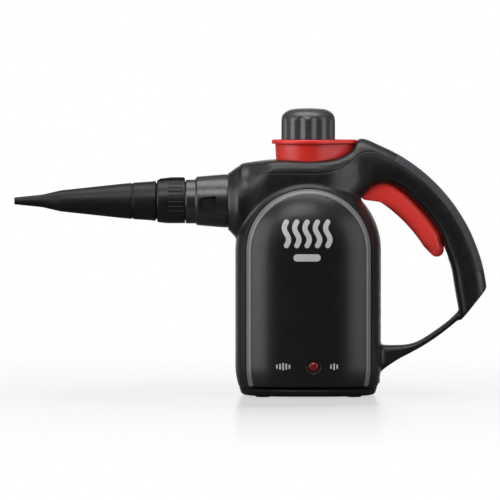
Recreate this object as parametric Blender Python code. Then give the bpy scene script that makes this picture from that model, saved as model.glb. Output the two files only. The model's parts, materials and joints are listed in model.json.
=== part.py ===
"""Handheld steam cleaner: metres, +Z up, nozzle towards -X, handle towards +X.

The pieces are laid out round the filler axis, with X = 0 on it, Y = 0 on the parting plane
of the two housing halves and Z = 0 on the ground. An empty then moves the whole object, so
that the middle of its length lies over the world's origin.
"""

import math

import bmesh
import bpy
from mathutils import Matrix, Vector

MM = 0.001

# Clearances
SEAT_GAP = 0.3 * MM  # between pieces that touch
RUN_GAP = 0.45 * MM  # between pieces that move past each other
OVERLAP = 1.0 * MM  # how far joined shapes and cutters reach into each other

# Housing
WALL = 2.5 * MM
BODY_RADIUS = 61.3 * MM  # half the body's length, and the radius of its arched top
BODY_DEPTH = 54.0 * MM  # half the body's width, at the middle of its sides
ARCH_Z = 122.2 * MM  # centre of the arch
BULGE_POWER = 2.8
BASE_ROUND = 6.0 * MM
BASE_ROUND_TOP = 26.0 * MM
HOUSING_BASE_Z = 6.9 * MM
BASE_FLOOR_Z = 1.2 * MM
ARCH_STEPS = 12
HOUSING_HALF_WIDTH = 33.4 * MM  # of the top part, round the filler collar

# Side panels
PANEL_SHARE = 0.856  # the window's edge, as a share of the way from the middle to the outline
LEDGE_SHARE = 0.78
PANEL_BASE_Z = 9.6 * MM
PANEL_THICK = 2.5 * MM
LEDGE_Y = BODY_DEPTH - 20.0 * MM
LEDGE_THICK = 3.0 * MM

# Housing screws and bosses
SCREW_RADIUS = 1.5 * MM
SCREW_HEAD = 3.0 * MM
SCREW_HEAD_THICK = 2.2 * MM
SCREW_DEPTH = 12.0 * MM  # how far the housing's screws reach past the parting plane
BOSS_RADIUS = 4.2 * MM
BOSS_FACE = LEDGE_Y + 1.0 * MM  # the bosses' faces, clear of the ledge beside them
BOSS_REACH = BODY_RADIUS - 16.3 * MM  # bosses behind the side panels, from the middle of the body
LOW_BOSS_Z = 26.0 * MM
TOP_BOSS_ANGLE = 150.0
HANDLE_SCREW = (64.7 * MM, 195.3 * MM)
HANDLE_SCREW_FACE = 13.5 * MM

# Indicator
LENS_X = 4.0 * MM
LENS_Z = 26.7 * MM
LENS_RADIUS = 4.2 * MM
LENS_RIM = 1.8 * MM
LENS_RIM_THICK = 1.5 * MM
LENS_STEP = 1.7 * MM  # from the flat back of the rim to the panel's rounded inner face

# Cord entry
GLAND_RADIUS = 5.0 * MM
GLAND_BORE = 3.3 * MM
GLAND_FLANGE = 1.5 * MM
GLAND_Z = 15.0 * MM

# Base
BASE_TOP_Z = HOUSING_BASE_Z - SEAT_GAP
BASE_FLOOR = 2.4 * MM
BOILER_POST_X = BODY_RADIUS - 31.3 * MM
BOILER_POST_Y = BODY_DEPTH - 30.0 * MM
BRACKET_Z = 30.0 * MM
BRACKET_THICK = 1.5 * MM
FOOT_X = BODY_RADIUS - 23.3 * MM
FOOT_Y = BODY_DEPTH - 28.0 * MM
FOOT_RADIUS = 6.5 * MM
FOOT_RECESS = 1.0 * MM

# Spout
SPOUT_Z = 163.4 * MM
FLARE_X = -67.2 * MM
FLARE_RADIUS = 23.7 * MM
SPOUT_RADIUS = 30.2 * MM
SPOUT_BORE = 16.0 * MM
COLLAR_FRONT_X = -103.0 * MM
NOZZLE_TIP_X = -247.0 * MM
NOZZLE_REAR_X = -104.0 * MM
NOZZLE_BARREL_RADIUS = 15.0 * MM
NOZZLE_BORE = 2.0 * MM
SPIGOT_RADIUS = 10.0 * MM
SPIGOT_FRONT_X = -124.0 * MM
SPIGOT_REAR_X = -62.0 * MM
STEAM_BORE = 2.0 * MM
LOCK_FRONT_X = -127.0 * MM
LOCK_RADIUS = 18.8 * MM

# Handle
HANDLE_CENTRE = (1.2 * MM, 72.3 * MM)
HANDLE_RADIUS = 150.1 * MM
HANDLE_END_ANGLE = 7.0
HANDLE_HALF_WIDTH = 16.2 * MM
GRIP_INNER = HANDLE_RADIUS - 6.6 * MM  # edge of the grip cover, from HANDLE_CENTRE
GRIP_ANGLES = (13.0, 60.5)
GRIP_THICK = 1.8 * MM
GRIP_REACH = HANDLE_RADIUS - 26.0 * MM  # handle's inner edge below the trigger
STRUT_HALF_WIDTH = 8.0 * MM

# Trigger
PIVOT = (53.8 * MM, 181.5 * MM)
PIN_RADIUS = 2.0 * MM
PIN_HALF_LENGTH = 14.6 * MM
PIN_HOLE_END = PIN_HALF_LENGTH + SEAT_GAP
HUB_RADIUS = 5.5 * MM
TRIGGER_HALF_WIDTH = 8.5 * MM
TRIGGER_REACH = HANDLE_RADIUS - 24.3 * MM  # handle's inner edge behind the trigger, from HANDLE_CENTRE
TRIGGER_SUNK = 5.7 * MM
TRIGGER_TIP = (108.0 * MM, 122.5 * MM)
TRIGGER_TIP_RADIUS = 6.0 * MM
FINGER_CENTRE = (-9.7 * MM, 57.2 * MM)
FINGER_RADIUS = 126.6 * MM

# Filler
NECK_RADIUS = 13.0 * MM
NECK_BORE = 11.0 * MM
NECK_TOP_Z = 204.0 * MM
HOUSING_TOP_Z = 193.6 * MM
FILLER_BORE = 24.0 * MM
FILLER_FLOOR = 3.5 * MM
FLANGE_RADIUS = 30.7 * MM
FLANGE_THICK = 3.5 * MM
FLANGE_LIP = 3.0 * MM  # how far the flange stands out all round
FILLER_TOP_Z = 215.0 * MM
TAIL_X = 41.0 * MM
TAIL_RADIUS = 15.0 * MM
COLLAR_SEAT_Z = HOUSING_TOP_Z + SEAT_GAP + FILLER_FLOOR

# Cap
THREAD_LEAD = 5.0 * MM
THREAD_TURNS = 2.0
THREAD_STEPS = 16
THREAD_LOW_Z = NECK_TOP_Z - 12.2 * MM  # where the plug's thread starts; the neck's is half a lead lower
PLUG_CORE = 9.4 * MM
PLUG_BOTTOM_Z = NECK_TOP_Z - 14.0 * MM
CAP_SEAL_THICK = 1.0 * MM
PLUG_FLANGE_Z = NECK_TOP_Z + 2 * SEAT_GAP + CAP_SEAL_THICK
PLUG_FLANGE_THICK = 3.0 * MM
PLUG_FLANGE_RADIUS = 20.0 * MM
CAP_HUB_RADIUS = 8.0 * MM
HUB_HEAD = 9.6 * MM
CHAMBER_RADIUS = 4.2 * MM
CHAMBER_FLOOR = 2.5 * MM
RELIEF_BORE = 1.6 * MM
SET_SCREW_Z = NECK_TOP_Z + 15.0 * MM
KNOB_RADIUS = 23.2 * MM
KNOB_BORE = 19.6 * MM
KNOB_TOP_Z = 241.5 * MM
HUB_TOP_Z = KNOB_TOP_Z - 6.5 * MM
HUB_HEAD_Z = HUB_TOP_Z - 2.0 * MM
SHOULDER_Z = HUB_HEAD_Z - 3.0 * MM
KNOB_PRESS = 3.0 * MM  # how far the knob goes down before its dogs can turn the plug
DOG_CIRCLE = 17.2 * MM
DOG_RADIUS = 1.8 * MM
DOG_HEIGHT = 2.0 * MM
FLUTES = 10

# Boiler
BOILER_RADIUS = 36.0 * MM
BOILER_WALL = 3.0 * MM
BOILER_BASE_Z = 36.0 * MM
JOINT_Z = 84.0 * MM
BOILER_FLANGE = 43.0 * MM
BOILER_FLANGE_THICK = 4.0 * MM
GASKET_THICK = 1.2 * MM
BOILER_TOP_Z = 124.0 * MM
BOLT_CIRCLE = 39.6 * MM
BOLT_RADIUS = 1.5 * MM

# Valve
VALVE_X = 25.0 * MM
VALVE_RADIUS = 7.5 * MM
VALVE_TOP_Z = 158.0 * MM
VALVE_OUTLET_Z = 147.0 * MM
STEM_RADIUS = 2.5 * MM
STEM_TOP_Z = 172.0 * MM
STEAM_TUBE_RADIUS = 3.0 * MM

HANDLE_REAR_X = HANDLE_CENTRE[0] + HANDLE_RADIUS * math.cos(math.radians(HANDLE_END_ANGLE))
ORIGIN_SHIFT_X = -(NOZZLE_TIP_X + HANDLE_REAR_X) / 2


# Scene, materials and objects

def clear_scene():
    for obj in list(bpy.data.objects):
        bpy.data.objects.remove(obj, do_unlink=True)


def make_material(name, colour, roughness, metallic=0.0):
    material = bpy.data.materials.new(name)
    material.use_nodes = True
    shader = material.node_tree.nodes["Principled BSDF"]
    shader.inputs["Base Color"].default_value = (*colour, 1.0)
    shader.inputs["Roughness"].default_value = roughness
    shader.inputs["Metallic"].default_value = metallic
    material.diffuse_color = (*colour, 1.0)
    return material


def object_from(bm, name):
    """A new object from a bmesh whose faces are first turned outwards."""
    bmesh.ops.recalc_face_normals(bm, faces=bm.faces)
    mesh = bpy.data.meshes.new(name)
    bm.to_mesh(mesh)
    bm.free()
    obj = bpy.data.objects.new(name, mesh)
    bpy.context.collection.objects.link(obj)
    return obj


def finish(obj, name, material, origin=(0.0, 0.0, 0.0), smooth_angle=35.0):
    """Names a piece, gives it its material, and puts its origin on the point it moves about."""
    obj.name = name
    obj.data.name = name
    obj.data.transform(Matrix.Translation(-Vector(origin)))
    obj.location = origin
    obj.parent = frame_origin
    obj.data.materials.clear()
    obj.data.materials.append(material)
    obj.data.shade_smooth()
    obj.data.set_sharp_from_angle(angle=math.radians(smooth_angle))
    return obj


# Shapes

def ring_solid(name, rings, loop=False):
    """A closed solid through rings of equally many points, with flat ends unless it loops."""
    bm = bmesh.new()
    rows = [[bm.verts.new(point) for point in ring] for ring in rings]
    pairs = list(zip(rows, rows[1:]))
    if loop:
        pairs.append((rows[-1], rows[0]))
    else:
        bm.faces.new(rows[0])
        bm.faces.new(rows[-1])
    for first, second in pairs:
        for i in range(len(first)):
            j = (i + 1) % len(first)
            bm.faces.new((first[i], first[j], second[j], second[i]))
    return object_from(bm, name)


def turned(name, profile, axis="Z", centre=(0.0, 0.0), steps=32, loop=False, radius_at=None):
    """Turns (radius, height) points about an axis through centre, the axis's two other coordinates."""
    rings = []
    for radius, height in profile:
        ring = []
        for i in range(steps):
            angle = 2 * math.pi * i / steps
            reach = radius if radius_at is None else radius_at(radius, angle)
            a = centre[0] + reach * math.cos(angle)
            b = centre[1] + reach * math.sin(angle)
            place = {"X": (height, a, b), "Y": (a, height, b), "Z": (a, b, height)}
            ring.append(place[axis])
        rings.append(ring)
    return ring_solid(name, rings, loop)


def prism(name, outline, low, high, axis="Y"):
    """Extrudes an outline along an axis; its points hold the two other coordinates."""
    place = {
        "X": lambda a, b, c: (c, a, b),
        "Y": lambda a, b, c: (a, c, b),
        "Z": lambda a, b, c: (a, b, c),
    }[axis]
    return ring_solid(name, [[place(a, b, c) for a, b in outline] for c in (low, high)])


def block(name, low, high):
    outline = [(low[0], low[1]), (high[0], low[1]), (high[0], high[1]), (low[0], high[1])]
    return prism(name, outline, low[2], high[2], "Z")


def rod(name, radius, low, high, axis="Z", centre=(0.0, 0.0), steps=16):
    return turned(name, [(radius, low), (radius, high)], axis, centre, steps)


def sleeve(name, inner, outer, low, high, axis="Z", centre=(0.0, 0.0), steps=24):
    profile = [(inner, low), (outer, low), (outer, high), (inner, high)]
    return turned(name, profile, axis, centre, steps, loop=True)


def tube(name, points, radius, sides=8):
    """A round bar along points, with flat ends."""
    curve = bpy.data.curves.new(name, "CURVE")
    curve.dimensions = "3D"
    curve.bevel_depth = radius
    curve.bevel_resolution = max(0, sides // 2 - 2)
    curve.use_fill_caps = True
    spline = curve.splines.new("POLY")
    spline.points.add(len(points) - 1)
    for target, point in zip(spline.points, points):
        target.co = (*point, 1.0)
    guide = bpy.data.objects.new(name, curve)
    bpy.context.collection.objects.link(guide)
    graph = bpy.context.evaluated_depsgraph_get()
    mesh = bpy.data.meshes.new_from_object(guide.evaluated_get(graph))
    bpy.data.objects.remove(guide, do_unlink=True)
    bm = bmesh.new()
    bm.from_mesh(mesh)
    bmesh.ops.remove_doubles(bm, verts=bm.verts, dist=0.001 * MM)
    return object_from(bm, name)


def rounded_path(corners, bend, steps=4):
    """A path through corners, each replaced by an arc-like bend of the given size."""
    points = [Vector(corners[0])]
    for before, corner, after in zip(corners, corners[1:], corners[2:]):
        corner = Vector(corner)
        start = corner + (Vector(before) - corner).normalized() * bend
        end = corner + (Vector(after) - corner).normalized() * bend
        for i in range(steps + 1):
            t = i / steps
            points.append(start * (1 - t) ** 2 + corner * 2 * t * (1 - t) + end * t * t)
    points.append(Vector(corners[-1]))
    return points


def coil(name, radius, wire, turns, low, high, centre=(0.0, 0.0), per_turn=10):
    """A compression spring's wire, one unbroken tube round a vertical axis."""
    count = int(turns * per_turn)
    points = []
    for i in range(count + 1):
        angle = 2 * math.pi * i / per_turn
        height = low + wire + (high - low - 2 * wire) * i / count
        x = centre[0] + radius * math.cos(angle)
        y = centre[1] + radius * math.sin(angle)
        points.append((x, y, height))
    return tube(name, points, wire, sides=4)


def combine(target, tool, operation):
    """Applies a Boolean. The housing's large flat and curved faces need the manifold solver."""
    modifier = target.modifiers.new(operation.lower(), "BOOLEAN")
    modifier.operation = operation
    modifier.solver = "MANIFOLD" if target.name.startswith("casing") else "EXACT"
    modifier.object = tool
    graph = bpy.context.evaluated_depsgraph_get()
    mesh = bpy.data.meshes.new_from_object(target.evaluated_get(graph))
    target.modifiers.clear()
    target.data = mesh
    bpy.data.objects.remove(tool, do_unlink=True)
    return target


def join(target, *others):
    for other in others:
        combine(target, other, "UNION")
    return target


def cut(target, *others):
    for other in others:
        combine(target, other, "DIFFERENCE")
    return target


def copy_of(obj):
    other = obj.copy()
    other.data = obj.data.copy()
    bpy.context.collection.objects.link(other)
    return other


def polar(centre, radius, degrees):
    angle = math.radians(degrees)
    return (centre[0] + radius * math.cos(angle), centre[1] + radius * math.sin(angle))


# Housing form

def base_inset(z):
    return BASE_ROUND * max(0.0, (BASE_ROUND_TOP - z) / BASE_ROUND_TOP) ** 2


def bulge(share):
    return (1 - share**BULGE_POWER) ** (1 / BULGE_POWER)


def side_depth(share, z, inset=0.0):
    """How far the body reaches to its side, at a share of the way out to its outline."""
    return (BODY_DEPTH - inset - base_inset(z)) * bulge(share)


def arch_line(share, low_z, inset=0.0, clearance=0.0):
    """(x, z) points up the left side, over the arch and down the right side."""
    levels = [z for z in (low_z, 12.0 * MM, 18.0 * MM, BASE_ROUND_TOP) if z >= low_z]
    sides = [(share * (BODY_RADIUS - inset - base_inset(z)) + clearance, z) for z in levels]
    radius = share * (BODY_RADIUS - inset) + clearance
    arc = [polar((0.0, ARCH_Z), radius, 180 - 180 * i / ARCH_STEPS) for i in range(ARCH_STEPS + 1)]
    return [(-x, z) for x, z in sides] + arc + [(x, z) for x, z in reversed(sides)]


def arch_solid(name, rings, low_z, inset=0.0):
    """A solid of nested arches. Each ring has its share and a function from z to its y."""
    bm = bmesh.new()
    rows = []
    for share, depth in rings:
        line = arch_line(share, low_z, inset)
        rows.append([bm.verts.new((x, depth(z), z)) for x, z in line])
    for first, second in zip(rows, rows[1:]):
        for i in range(len(first) - 1):
            bm.faces.new((first[i], first[i + 1], second[i + 1], second[i]))
    bmesh.ops.remove_doubles(bm, verts=bm.verts, dist=0.001 * MM)
    open_edges = [edge for edge in bm.edges if edge.is_boundary]
    bmesh.ops.holes_fill(bm, edges=open_edges, sides=0)
    return object_from(bm, name)


def body_form(name, low_z, inset=0.0, flat_y=None):
    """The body's outer form, or its hollow, which ends flat at flat_y behind the ledges."""
    shares = [0.0, 0.87, 0.93, 0.98]
    if flat_y is not None:
        edge = bulge(flat_y / (BODY_DEPTH - inset))
        shares = [0.0, edge, (edge + 1.0) / 2, 0.985]
    rings = []
    for side in (-1, 1):
        part = []
        for share in shares:
            limit = flat_y if share == 0.0 and flat_y else BODY_DEPTH
            part.append((share, lambda z, s=share, k=side, m=limit: k * min(m, side_depth(s, z, inset))))
        rings += part + [(1.0, lambda z: 0.0)] if side < 0 else part[::-1]
    return arch_solid(name, rings, low_z, inset)


def arch_prism(name, share, low_z, near_y, far_y, clearance=0.0):
    return prism(name, arch_line(share, low_z, 0.0, clearance), near_y, far_y)


def section(outer, inner, half_width, power, points=14):
    """A rounded rectangle that stands between an inner and an outer (x, z) point."""
    middle = Vector(((outer[0] + inner[0]) / 2, 0.0, (outer[1] + inner[1]) / 2))
    reach = Vector((outer[0] - inner[0], 0.0, outer[1] - inner[1])) / 2
    ring = []
    for i in range(points):
        angle = 2 * math.pi * (i + 0.5) / points
        along = math.copysign(abs(math.cos(angle)) ** (2 / power), math.cos(angle))
        across = math.copysign(abs(math.sin(angle)) ** (2 / power), math.sin(angle))
        ring.append(middle + reach * along + Vector((0.0, half_width * across, 0.0)))
    return ring


def handle_stations():
    """(outer, inner, half width, power) along the top of the body and down the handle."""
    top = HOUSING_TOP_Z
    stations = [
        ((-57 * MM, top + 1.2 * MM), (-57 * MM, SPOUT_Z - 31.6 * MM), 30.2 * MM, 2.2),
        ((-49 * MM, top + 2.5 * MM), (-49 * MM, SPOUT_Z - SPOUT_RADIUS - 1.4 * MM), SPOUT_RADIUS + 0.6 * MM, 2.4),
        ((-38 * MM, top + 3.9 * MM), (-38 * MM, 136 * MM), 32.6 * MM, 4.0),
        ((-28 * MM, top + 4.6 * MM), (-28 * MM, 140 * MM), HOUSING_HALF_WIDTH, 7.0),
        ((0 * MM, top + 4.9 * MM), (0 * MM, 142 * MM), HOUSING_HALF_WIDTH, 7.0),
        ((16 * MM, top + 5.5 * MM), (14 * MM, 144 * MM), HOUSING_HALF_WIDTH - 0.6 * MM, 6.0),
        ((27 * MM, top + 8.0 * MM), (24 * MM, 150 * MM), 29.5 * MM, 4.6),
        ((36 * MM, top + 13.4 * MM), (33 * MM, 156 * MM), 25.0 * MM, 3.6),
        ((41.5 * MM, top + 20.6 * MM), (41 * MM, 162.5 * MM), 21.5 * MM, 3.2),
        ((46.5 * MM, top + 23.4 * MM), (47.3 * MM, 167.5 * MM), 20.0 * MM, 3.2),
    ]
    grip = [
        (68.0, (54.0 * MM, 174.5 * MM), 18.6 * MM),
        (61.0, (64.0 * MM, 177.3 * MM), 17.4 * MM),
        (53.0, polar(HANDLE_CENTRE, TRIGGER_REACH, 52.5), 16.6 * MM),
        (45.0, polar(HANDLE_CENTRE, TRIGGER_REACH, 45.0), HANDLE_HALF_WIDTH),
        (37.0, polar(HANDLE_CENTRE, TRIGGER_REACH, 37.0), HANDLE_HALF_WIDTH),
        (29.5, polar(HANDLE_CENTRE, TRIGGER_REACH, 29.5), HANDLE_HALF_WIDTH),
        (24.0, polar(HANDLE_CENTRE, GRIP_REACH, 24.0), HANDLE_HALF_WIDTH),
        (17.0, polar(HANDLE_CENTRE, GRIP_REACH, 16.5), HANDLE_HALF_WIDTH),
        (11.5, (123.4 * MM, 89.0 * MM), HANDLE_HALF_WIDTH),
        (HANDLE_END_ANGLE, (128.2 * MM, 62.8 * MM), HANDLE_HALF_WIDTH - 0.5 * MM),
    ]
    for angle, inner, half_width in grip:
        stations.append((polar(HANDLE_CENTRE, HANDLE_RADIUS, angle), inner, half_width, 3.2))
    return stations


def handle_form(name, inset=0.0):
    stations = handle_stations()
    if inset:
        outer, inner, half_width, power = stations[-1]
        before = stations[-2]
        share = 0.78
        stations[-1] = (
            tuple(before[0][k] * (1 - share) + outer[k] * share for k in (0, 1)),
            tuple(before[1][k] * (1 - share) + inner[k] * share for k in (0, 1)),
            half_width,
            power,
        )
        stations[0] = (
            (stations[0][0][0] + inset, stations[0][0][1]),
            (stations[0][1][0] + inset, stations[0][1][1]),
            stations[0][2],
            stations[0][3],
        )
    rings = []
    for outer, inner, half_width, power in stations:
        outer = Vector(outer)
        inner = Vector(inner)
        step = (outer - inner).normalized() * inset
        rings.append(section(outer - step, inner + step, half_width - inset, power))
    return ring_solid(name, rings)


def grip_zone(name, radius, grow=0.0):
    """A fan-shaped block round the handle's back, from a radius outwards."""
    start, end = GRIP_ANGLES[0] - grow, GRIP_ANGLES[1] + grow
    outline = arc_points(HANDLE_CENTRE, radius, start, end, 12)
    outline += arc_points(HANDLE_CENTRE, HANDLE_RADIUS + 15 * MM, end, start, 12)
    return prism(name, outline, -40 * MM, 40 * MM)


def grip_recess(name, depth, radius, grow):
    """What the grip cover takes from the handle: the zone outside a deeper form of it."""
    return cut(grip_zone(name, radius, grow), handle_form("inner_form", depth))


def flare_form(name):
    """The housing's swelling behind the spout collar; its rings sink a little as they grow."""
    rings = []
    for swell, x, drop in (
        (0.0, 0.0, 0.6),
        (2.4, 2.7, 1.0),
        (4.6, 5.2, 1.4),
        (6.5, 7.4, 1.6),
        (7.3, 11.0, 1.6),
        (6.7, 17.0, 1.6),
    ):
        ring = []
        for i in range(32):
            y, z = polar((0.0, SPOUT_Z - drop * MM), FLARE_RADIUS + swell * MM, 360 * i / 32)
            ring.append((FLARE_X + x * MM, y, z))
        rings.append(ring)
    return ring_solid(name, rings)


def strut_form(name):
    """The brace from the body's foot to the handle's end."""
    lines = [
        ((54 * MM, 42.5 * MM), (54 * MM, 14.0 * MM), 13.0 * MM),
        ((64.5 * MM, 42.3 * MM), (64.5 * MM, 22.6 * MM), 10.5 * MM),
        ((74.8 * MM, 42.2 * MM), (75.5 * MM, 30.0 * MM), 9.0 * MM),
        ((84.5 * MM, 43.0 * MM), (86.5 * MM, 35.8 * MM), STRUT_HALF_WIDTH),
        ((93.5 * MM, 46.0 * MM), (96.3 * MM, 41.3 * MM), STRUT_HALF_WIDTH),
        ((106.5 * MM, 54.2 * MM), (109.5 * MM, 50.0 * MM), STRUT_HALF_WIDTH),
        ((118.5 * MM, 63.2 * MM), (122.4 * MM, 60.2 * MM), 9.0 * MM),
        ((129.0 * MM, 73.6 * MM), (134.5 * MM, 70.6 * MM), 10.5 * MM),
    ]
    rings = [section(outer, inner, width, 4.0, points=12) for outer, inner, width in lines]
    return ring_solid(name, rings)


def filler_pocket(name, margin):
    """The space that the filler collar takes on top of the housing, grown by a margin."""
    low = HOUSING_TOP_Z + SEAT_GAP - margin
    return prism(name, teardrop(margin - FLANGE_LIP), low, FILLER_TOP_Z + 20 * MM, "Z")


def teardrop(grow=0.0):
    """Outline of the filler collar: a circle with a tail towards the handle."""
    radius = FLANGE_RADIUS + grow
    tail_centre = TAIL_X - TAIL_RADIUS
    lean = math.degrees(math.acos((FLANGE_RADIUS - TAIL_RADIUS) / tail_centre))
    outline = []
    for i in range(21):
        outline.append(polar((0.0, 0.0), radius, lean + (360 - 2 * lean) * i / 20))
    for i in range(7):
        outline.append(polar((tail_centre, 0.0), TAIL_RADIUS + grow, -lean + 2 * lean * i / 6))
    return outline


def flange_pocket(name, margin):
    low = FILLER_TOP_Z - FLANGE_THICK - margin
    return prism(name, teardrop(margin), low, FILLER_TOP_Z + 20 * MM, "Z")


def arc_points(centre, radius, start, end, steps):
    return [polar(centre, radius, start + (end - start) * i / steps) for i in range(steps + 1)]


def trigger_outline():
    """The trigger's side view, from its root along the finger edge, the tip and back."""
    tip = TRIGGER_TIP
    back = TRIGGER_REACH + TRIGGER_SUNK
    finger = arc_points(FINGER_CENTRE, FINGER_RADIUS, 56.3, 32.5, 6)
    outline = [(44.6 * MM, 166.2 * MM), (47.0 * MM, 164.4 * MM), (53.0 * MM, 163.6 * MM)]
    outline += finger
    outline += arc_points(tip, TRIGGER_TIP_RADIUS, 222, 368, 6)
    outline += arc_points(HANDLE_CENTRE, back, 29.5, 52.0, 5)
    outline += [(73.5 * MM, 180.3 * MM), (64.0 * MM, 184.4 * MM)]
    outline += arc_points(PIVOT, HUB_RADIUS, 65, 150, 3)
    outline += [(40.0 * MM, 180.5 * MM), (22.0 * MM, 178.8 * MM), (20.2 * MM, 176.2 * MM)]
    nose = STEM_TOP_Z + SEAT_GAP
    outline += [(22.5 * MM, nose), (27.5 * MM, nose), (33.0 * MM, nose + 1.8 * MM), (43.0 * MM, 173.5 * MM)]
    return outline


def slot_outline():
    """The opening in the handle's inner side that the trigger moves in."""
    outline = [(41.8 * MM, 168.0 * MM), (46.5 * MM, 163.4 * MM), (62.0 * MM, 156.0 * MM)]
    outline += [(95.0 * MM, 105.0 * MM), polar(HANDLE_CENTRE, 118 * MM, 20.5)]
    outline += arc_points(HANDLE_CENTRE, 133.5 * MM, 20.5, 56.0, 5)
    outline += [(64.0 * MM, 188.5 * MM), (47.0 * MM, 188.0 * MM), (41.8 * MM, 180.0 * MM)]
    return outline


def make_casing():
    """The two housing halves still in one piece, hollow, with every opening but the halves' own."""
    casing = body_form("casing", HOUSING_BASE_Z)
    join(casing, handle_form("handle"), flare_form("flare"), strut_form("strut"))
    hollow = body_form("casing_hollow", HOUSING_BASE_Z - 5 * MM, WALL, LEDGE_Y - LEDGE_THICK)
    join(hollow, handle_form("handle_hollow", WALL))
    cut(hollow, filler_pocket("pocket_wall", WALL + SEAT_GAP), flange_pocket("tail_wall", WALL))
    step = GRIP_THICK + SEAT_GAP
    cut(hollow, grip_recess("casing_grip_wall", step + WALL, GRIP_INNER - WALL, 1.0))
    cut(casing, grip_recess("casing_grip", step, GRIP_INNER - SEAT_GAP, 0.12))
    cut(casing, hollow)
    cut(casing, filler_pocket("pocket", SEAT_GAP), flange_pocket("tail_pocket", SEAT_GAP))
    spigot = rod("neck_hole", NECK_RADIUS + 3.5 * MM + SEAT_GAP, 180 * MM, 200 * MM, steps=18)
    cut(casing, spigot)
    gland = rod("gland_hole", GLAND_RADIUS + SEAT_GAP, 50 * MM, 70 * MM, "X", (0.0, GLAND_Z), 14)
    cut(casing, gland)
    bore = rod("spout_hole", SPOUT_BORE, FLARE_X - OVERLAP, -50 * MM, "X", (0.0, SPOUT_Z), 24)
    cut(casing, bore)
    slot = TRIGGER_HALF_WIDTH + 0.7 * MM
    cut(casing, prism("trigger_slot", slot_outline(), -slot, slot))
    for side in (-1, 1):
        near, far = sorted((side * LEDGE_Y, side * (BODY_DEPTH + 10 * MM)))
        rest = PANEL_BASE_Z - SEAT_GAP
        cut(casing, arch_prism("window", PANEL_SHARE, rest, near, far, SEAT_GAP))
        near, far = sorted((side * 20 * MM, side * (BODY_DEPTH + 10 * MM)))
        cut(casing, arch_prism("opening", LEDGE_SHARE, 14 * MM, near, far))
    return casing


def boss_places():
    """(name, centre, face) of each housing screw; its head stands on the right half's face."""
    return (
        ("handle", HANDLE_SCREW, HANDLE_SCREW_FACE),
        ("front", (-BOSS_REACH, LOW_BOSS_Z), BOSS_FACE),
        ("rear", (BOSS_REACH, LOW_BOSS_Z), BOSS_FACE),
        ("top", polar((0.0, ARCH_Z), BOSS_REACH, TOP_BOSS_ANGLE), BOSS_FACE),
    )


def half_space(name, side):
    near, far = sorted((side * SEAT_GAP / 2, side * 90 * MM))
    return block(name, (-90 * MM, near, -20 * MM), (170 * MM, far, 240 * MM))


def make_housing(casing):
    halves = {}
    for name, side in (("housing_left", -1), ("housing_right", 1)):
        half = copy_of(casing)
        combine(half, half_space("half", side), "INTERSECT")
        for label, centre, face in boss_places():
            top = face + OVERLAP if label == "handle" else face
            low, high = sorted((side * SEAT_GAP / 2, side * top))
            join(half, rod("boss", BOSS_RADIUS, low, high, "Y", centre, 8))
        low, high = sorted((side * (TRIGGER_HALF_WIDTH + 0.9 * MM), side * 17.0 * MM))
        join(half, rod("pin_boss", BOSS_RADIUS, low, high, "Y", PIVOT, 10))
        low, high = sorted((0.0, side * PIN_HOLE_END))
        cut(half, rod("pin_hole", PIN_RADIUS + SEAT_GAP, low, high, "Y", PIVOT, 10))
        for label, centre, face in boss_places():
            hole = SCREW_RADIUS + SEAT_GAP
            if side > 0:
                cut(half, rod("screw_hole", hole, -5 * MM, 60 * MM, "Y", centre, 8))
                if label == "handle":
                    head = SCREW_HEAD + 0.9 * MM
                    cut(half, rod("head_hole", head, face, 40 * MM, "Y", centre, 12))
            else:
                cut(half, rod("screw_hole", hole, -SCREW_DEPTH, 5 * MM, "Y", centre, 8))
        halves[name] = half
    return halves


def make_screw(name, centre, face, material):
    """A pan-head screw driven in from the right."""
    under_head = face + SEAT_GAP
    profile = [
        (0.5 * MM, 1.0 * MM - SCREW_DEPTH),
        (SCREW_RADIUS, 2.5 * MM - SCREW_DEPTH),
        (SCREW_RADIUS, under_head),
        (SCREW_HEAD, under_head),
        (SCREW_HEAD, under_head + SCREW_HEAD_THICK * 0.5),
        (SCREW_HEAD * 0.75, under_head + SCREW_HEAD_THICK),
    ]
    screw = turned(name, profile, "Y", centre, 8)
    finish(screw, name, material, (centre[0], 0.0, centre[1]))


def make_panel(name, side, material):
    """The glossy arched side cover, a shell whose rim stands on the housing's ledge."""
    seat = LEDGE_Y + SEAT_GAP
    shares = (0.0, 0.35, 0.56, 0.7, 0.79)
    rings = [(share, lambda z, s=share: side * side_depth(s, z)) for share in shares]
    rings.append((PANEL_SHARE, lambda z: side * side_depth(PANEL_SHARE, z)))
    rings.append((PANEL_SHARE, lambda z: side * seat))
    inner_edge = PANEL_SHARE - PANEL_THICK / BODY_RADIUS
    rings.append((inner_edge, lambda z: side * seat))
    for share in (0.78, 0.56, 0.0):
        rings.append((share, lambda z, s=share: side * (side_depth(s, z) - PANEL_THICK)))
    panel = arch_solid(name, rings, PANEL_BASE_Z)
    if side < 0:
        lens = LENS_RADIUS + SEAT_GAP
        cut(panel, rod("lens_hole", lens, -60 * MM, -40 * MM, "Y", (LENS_X, LENS_Z), 14))
    return finish(panel, name, material)


def make_lens(material):
    front = -side_depth(0.0, LENS_Z)
    back = front + PANEL_THICK + LENS_STEP
    profile = [
        (LENS_RADIUS - 0.8 * MM, front),
        (LENS_RADIUS, front + 0.8 * MM),
        (LENS_RADIUS, back),
        (LENS_RADIUS + LENS_RIM, back),
        (LENS_RADIUS + LENS_RIM, back + LENS_RIM_THICK),
    ]
    lens = turned("indicator_lens", profile, "Y", (LENS_X, LENS_Z), 14)
    finish(lens, "indicator_lens", material)


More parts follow.
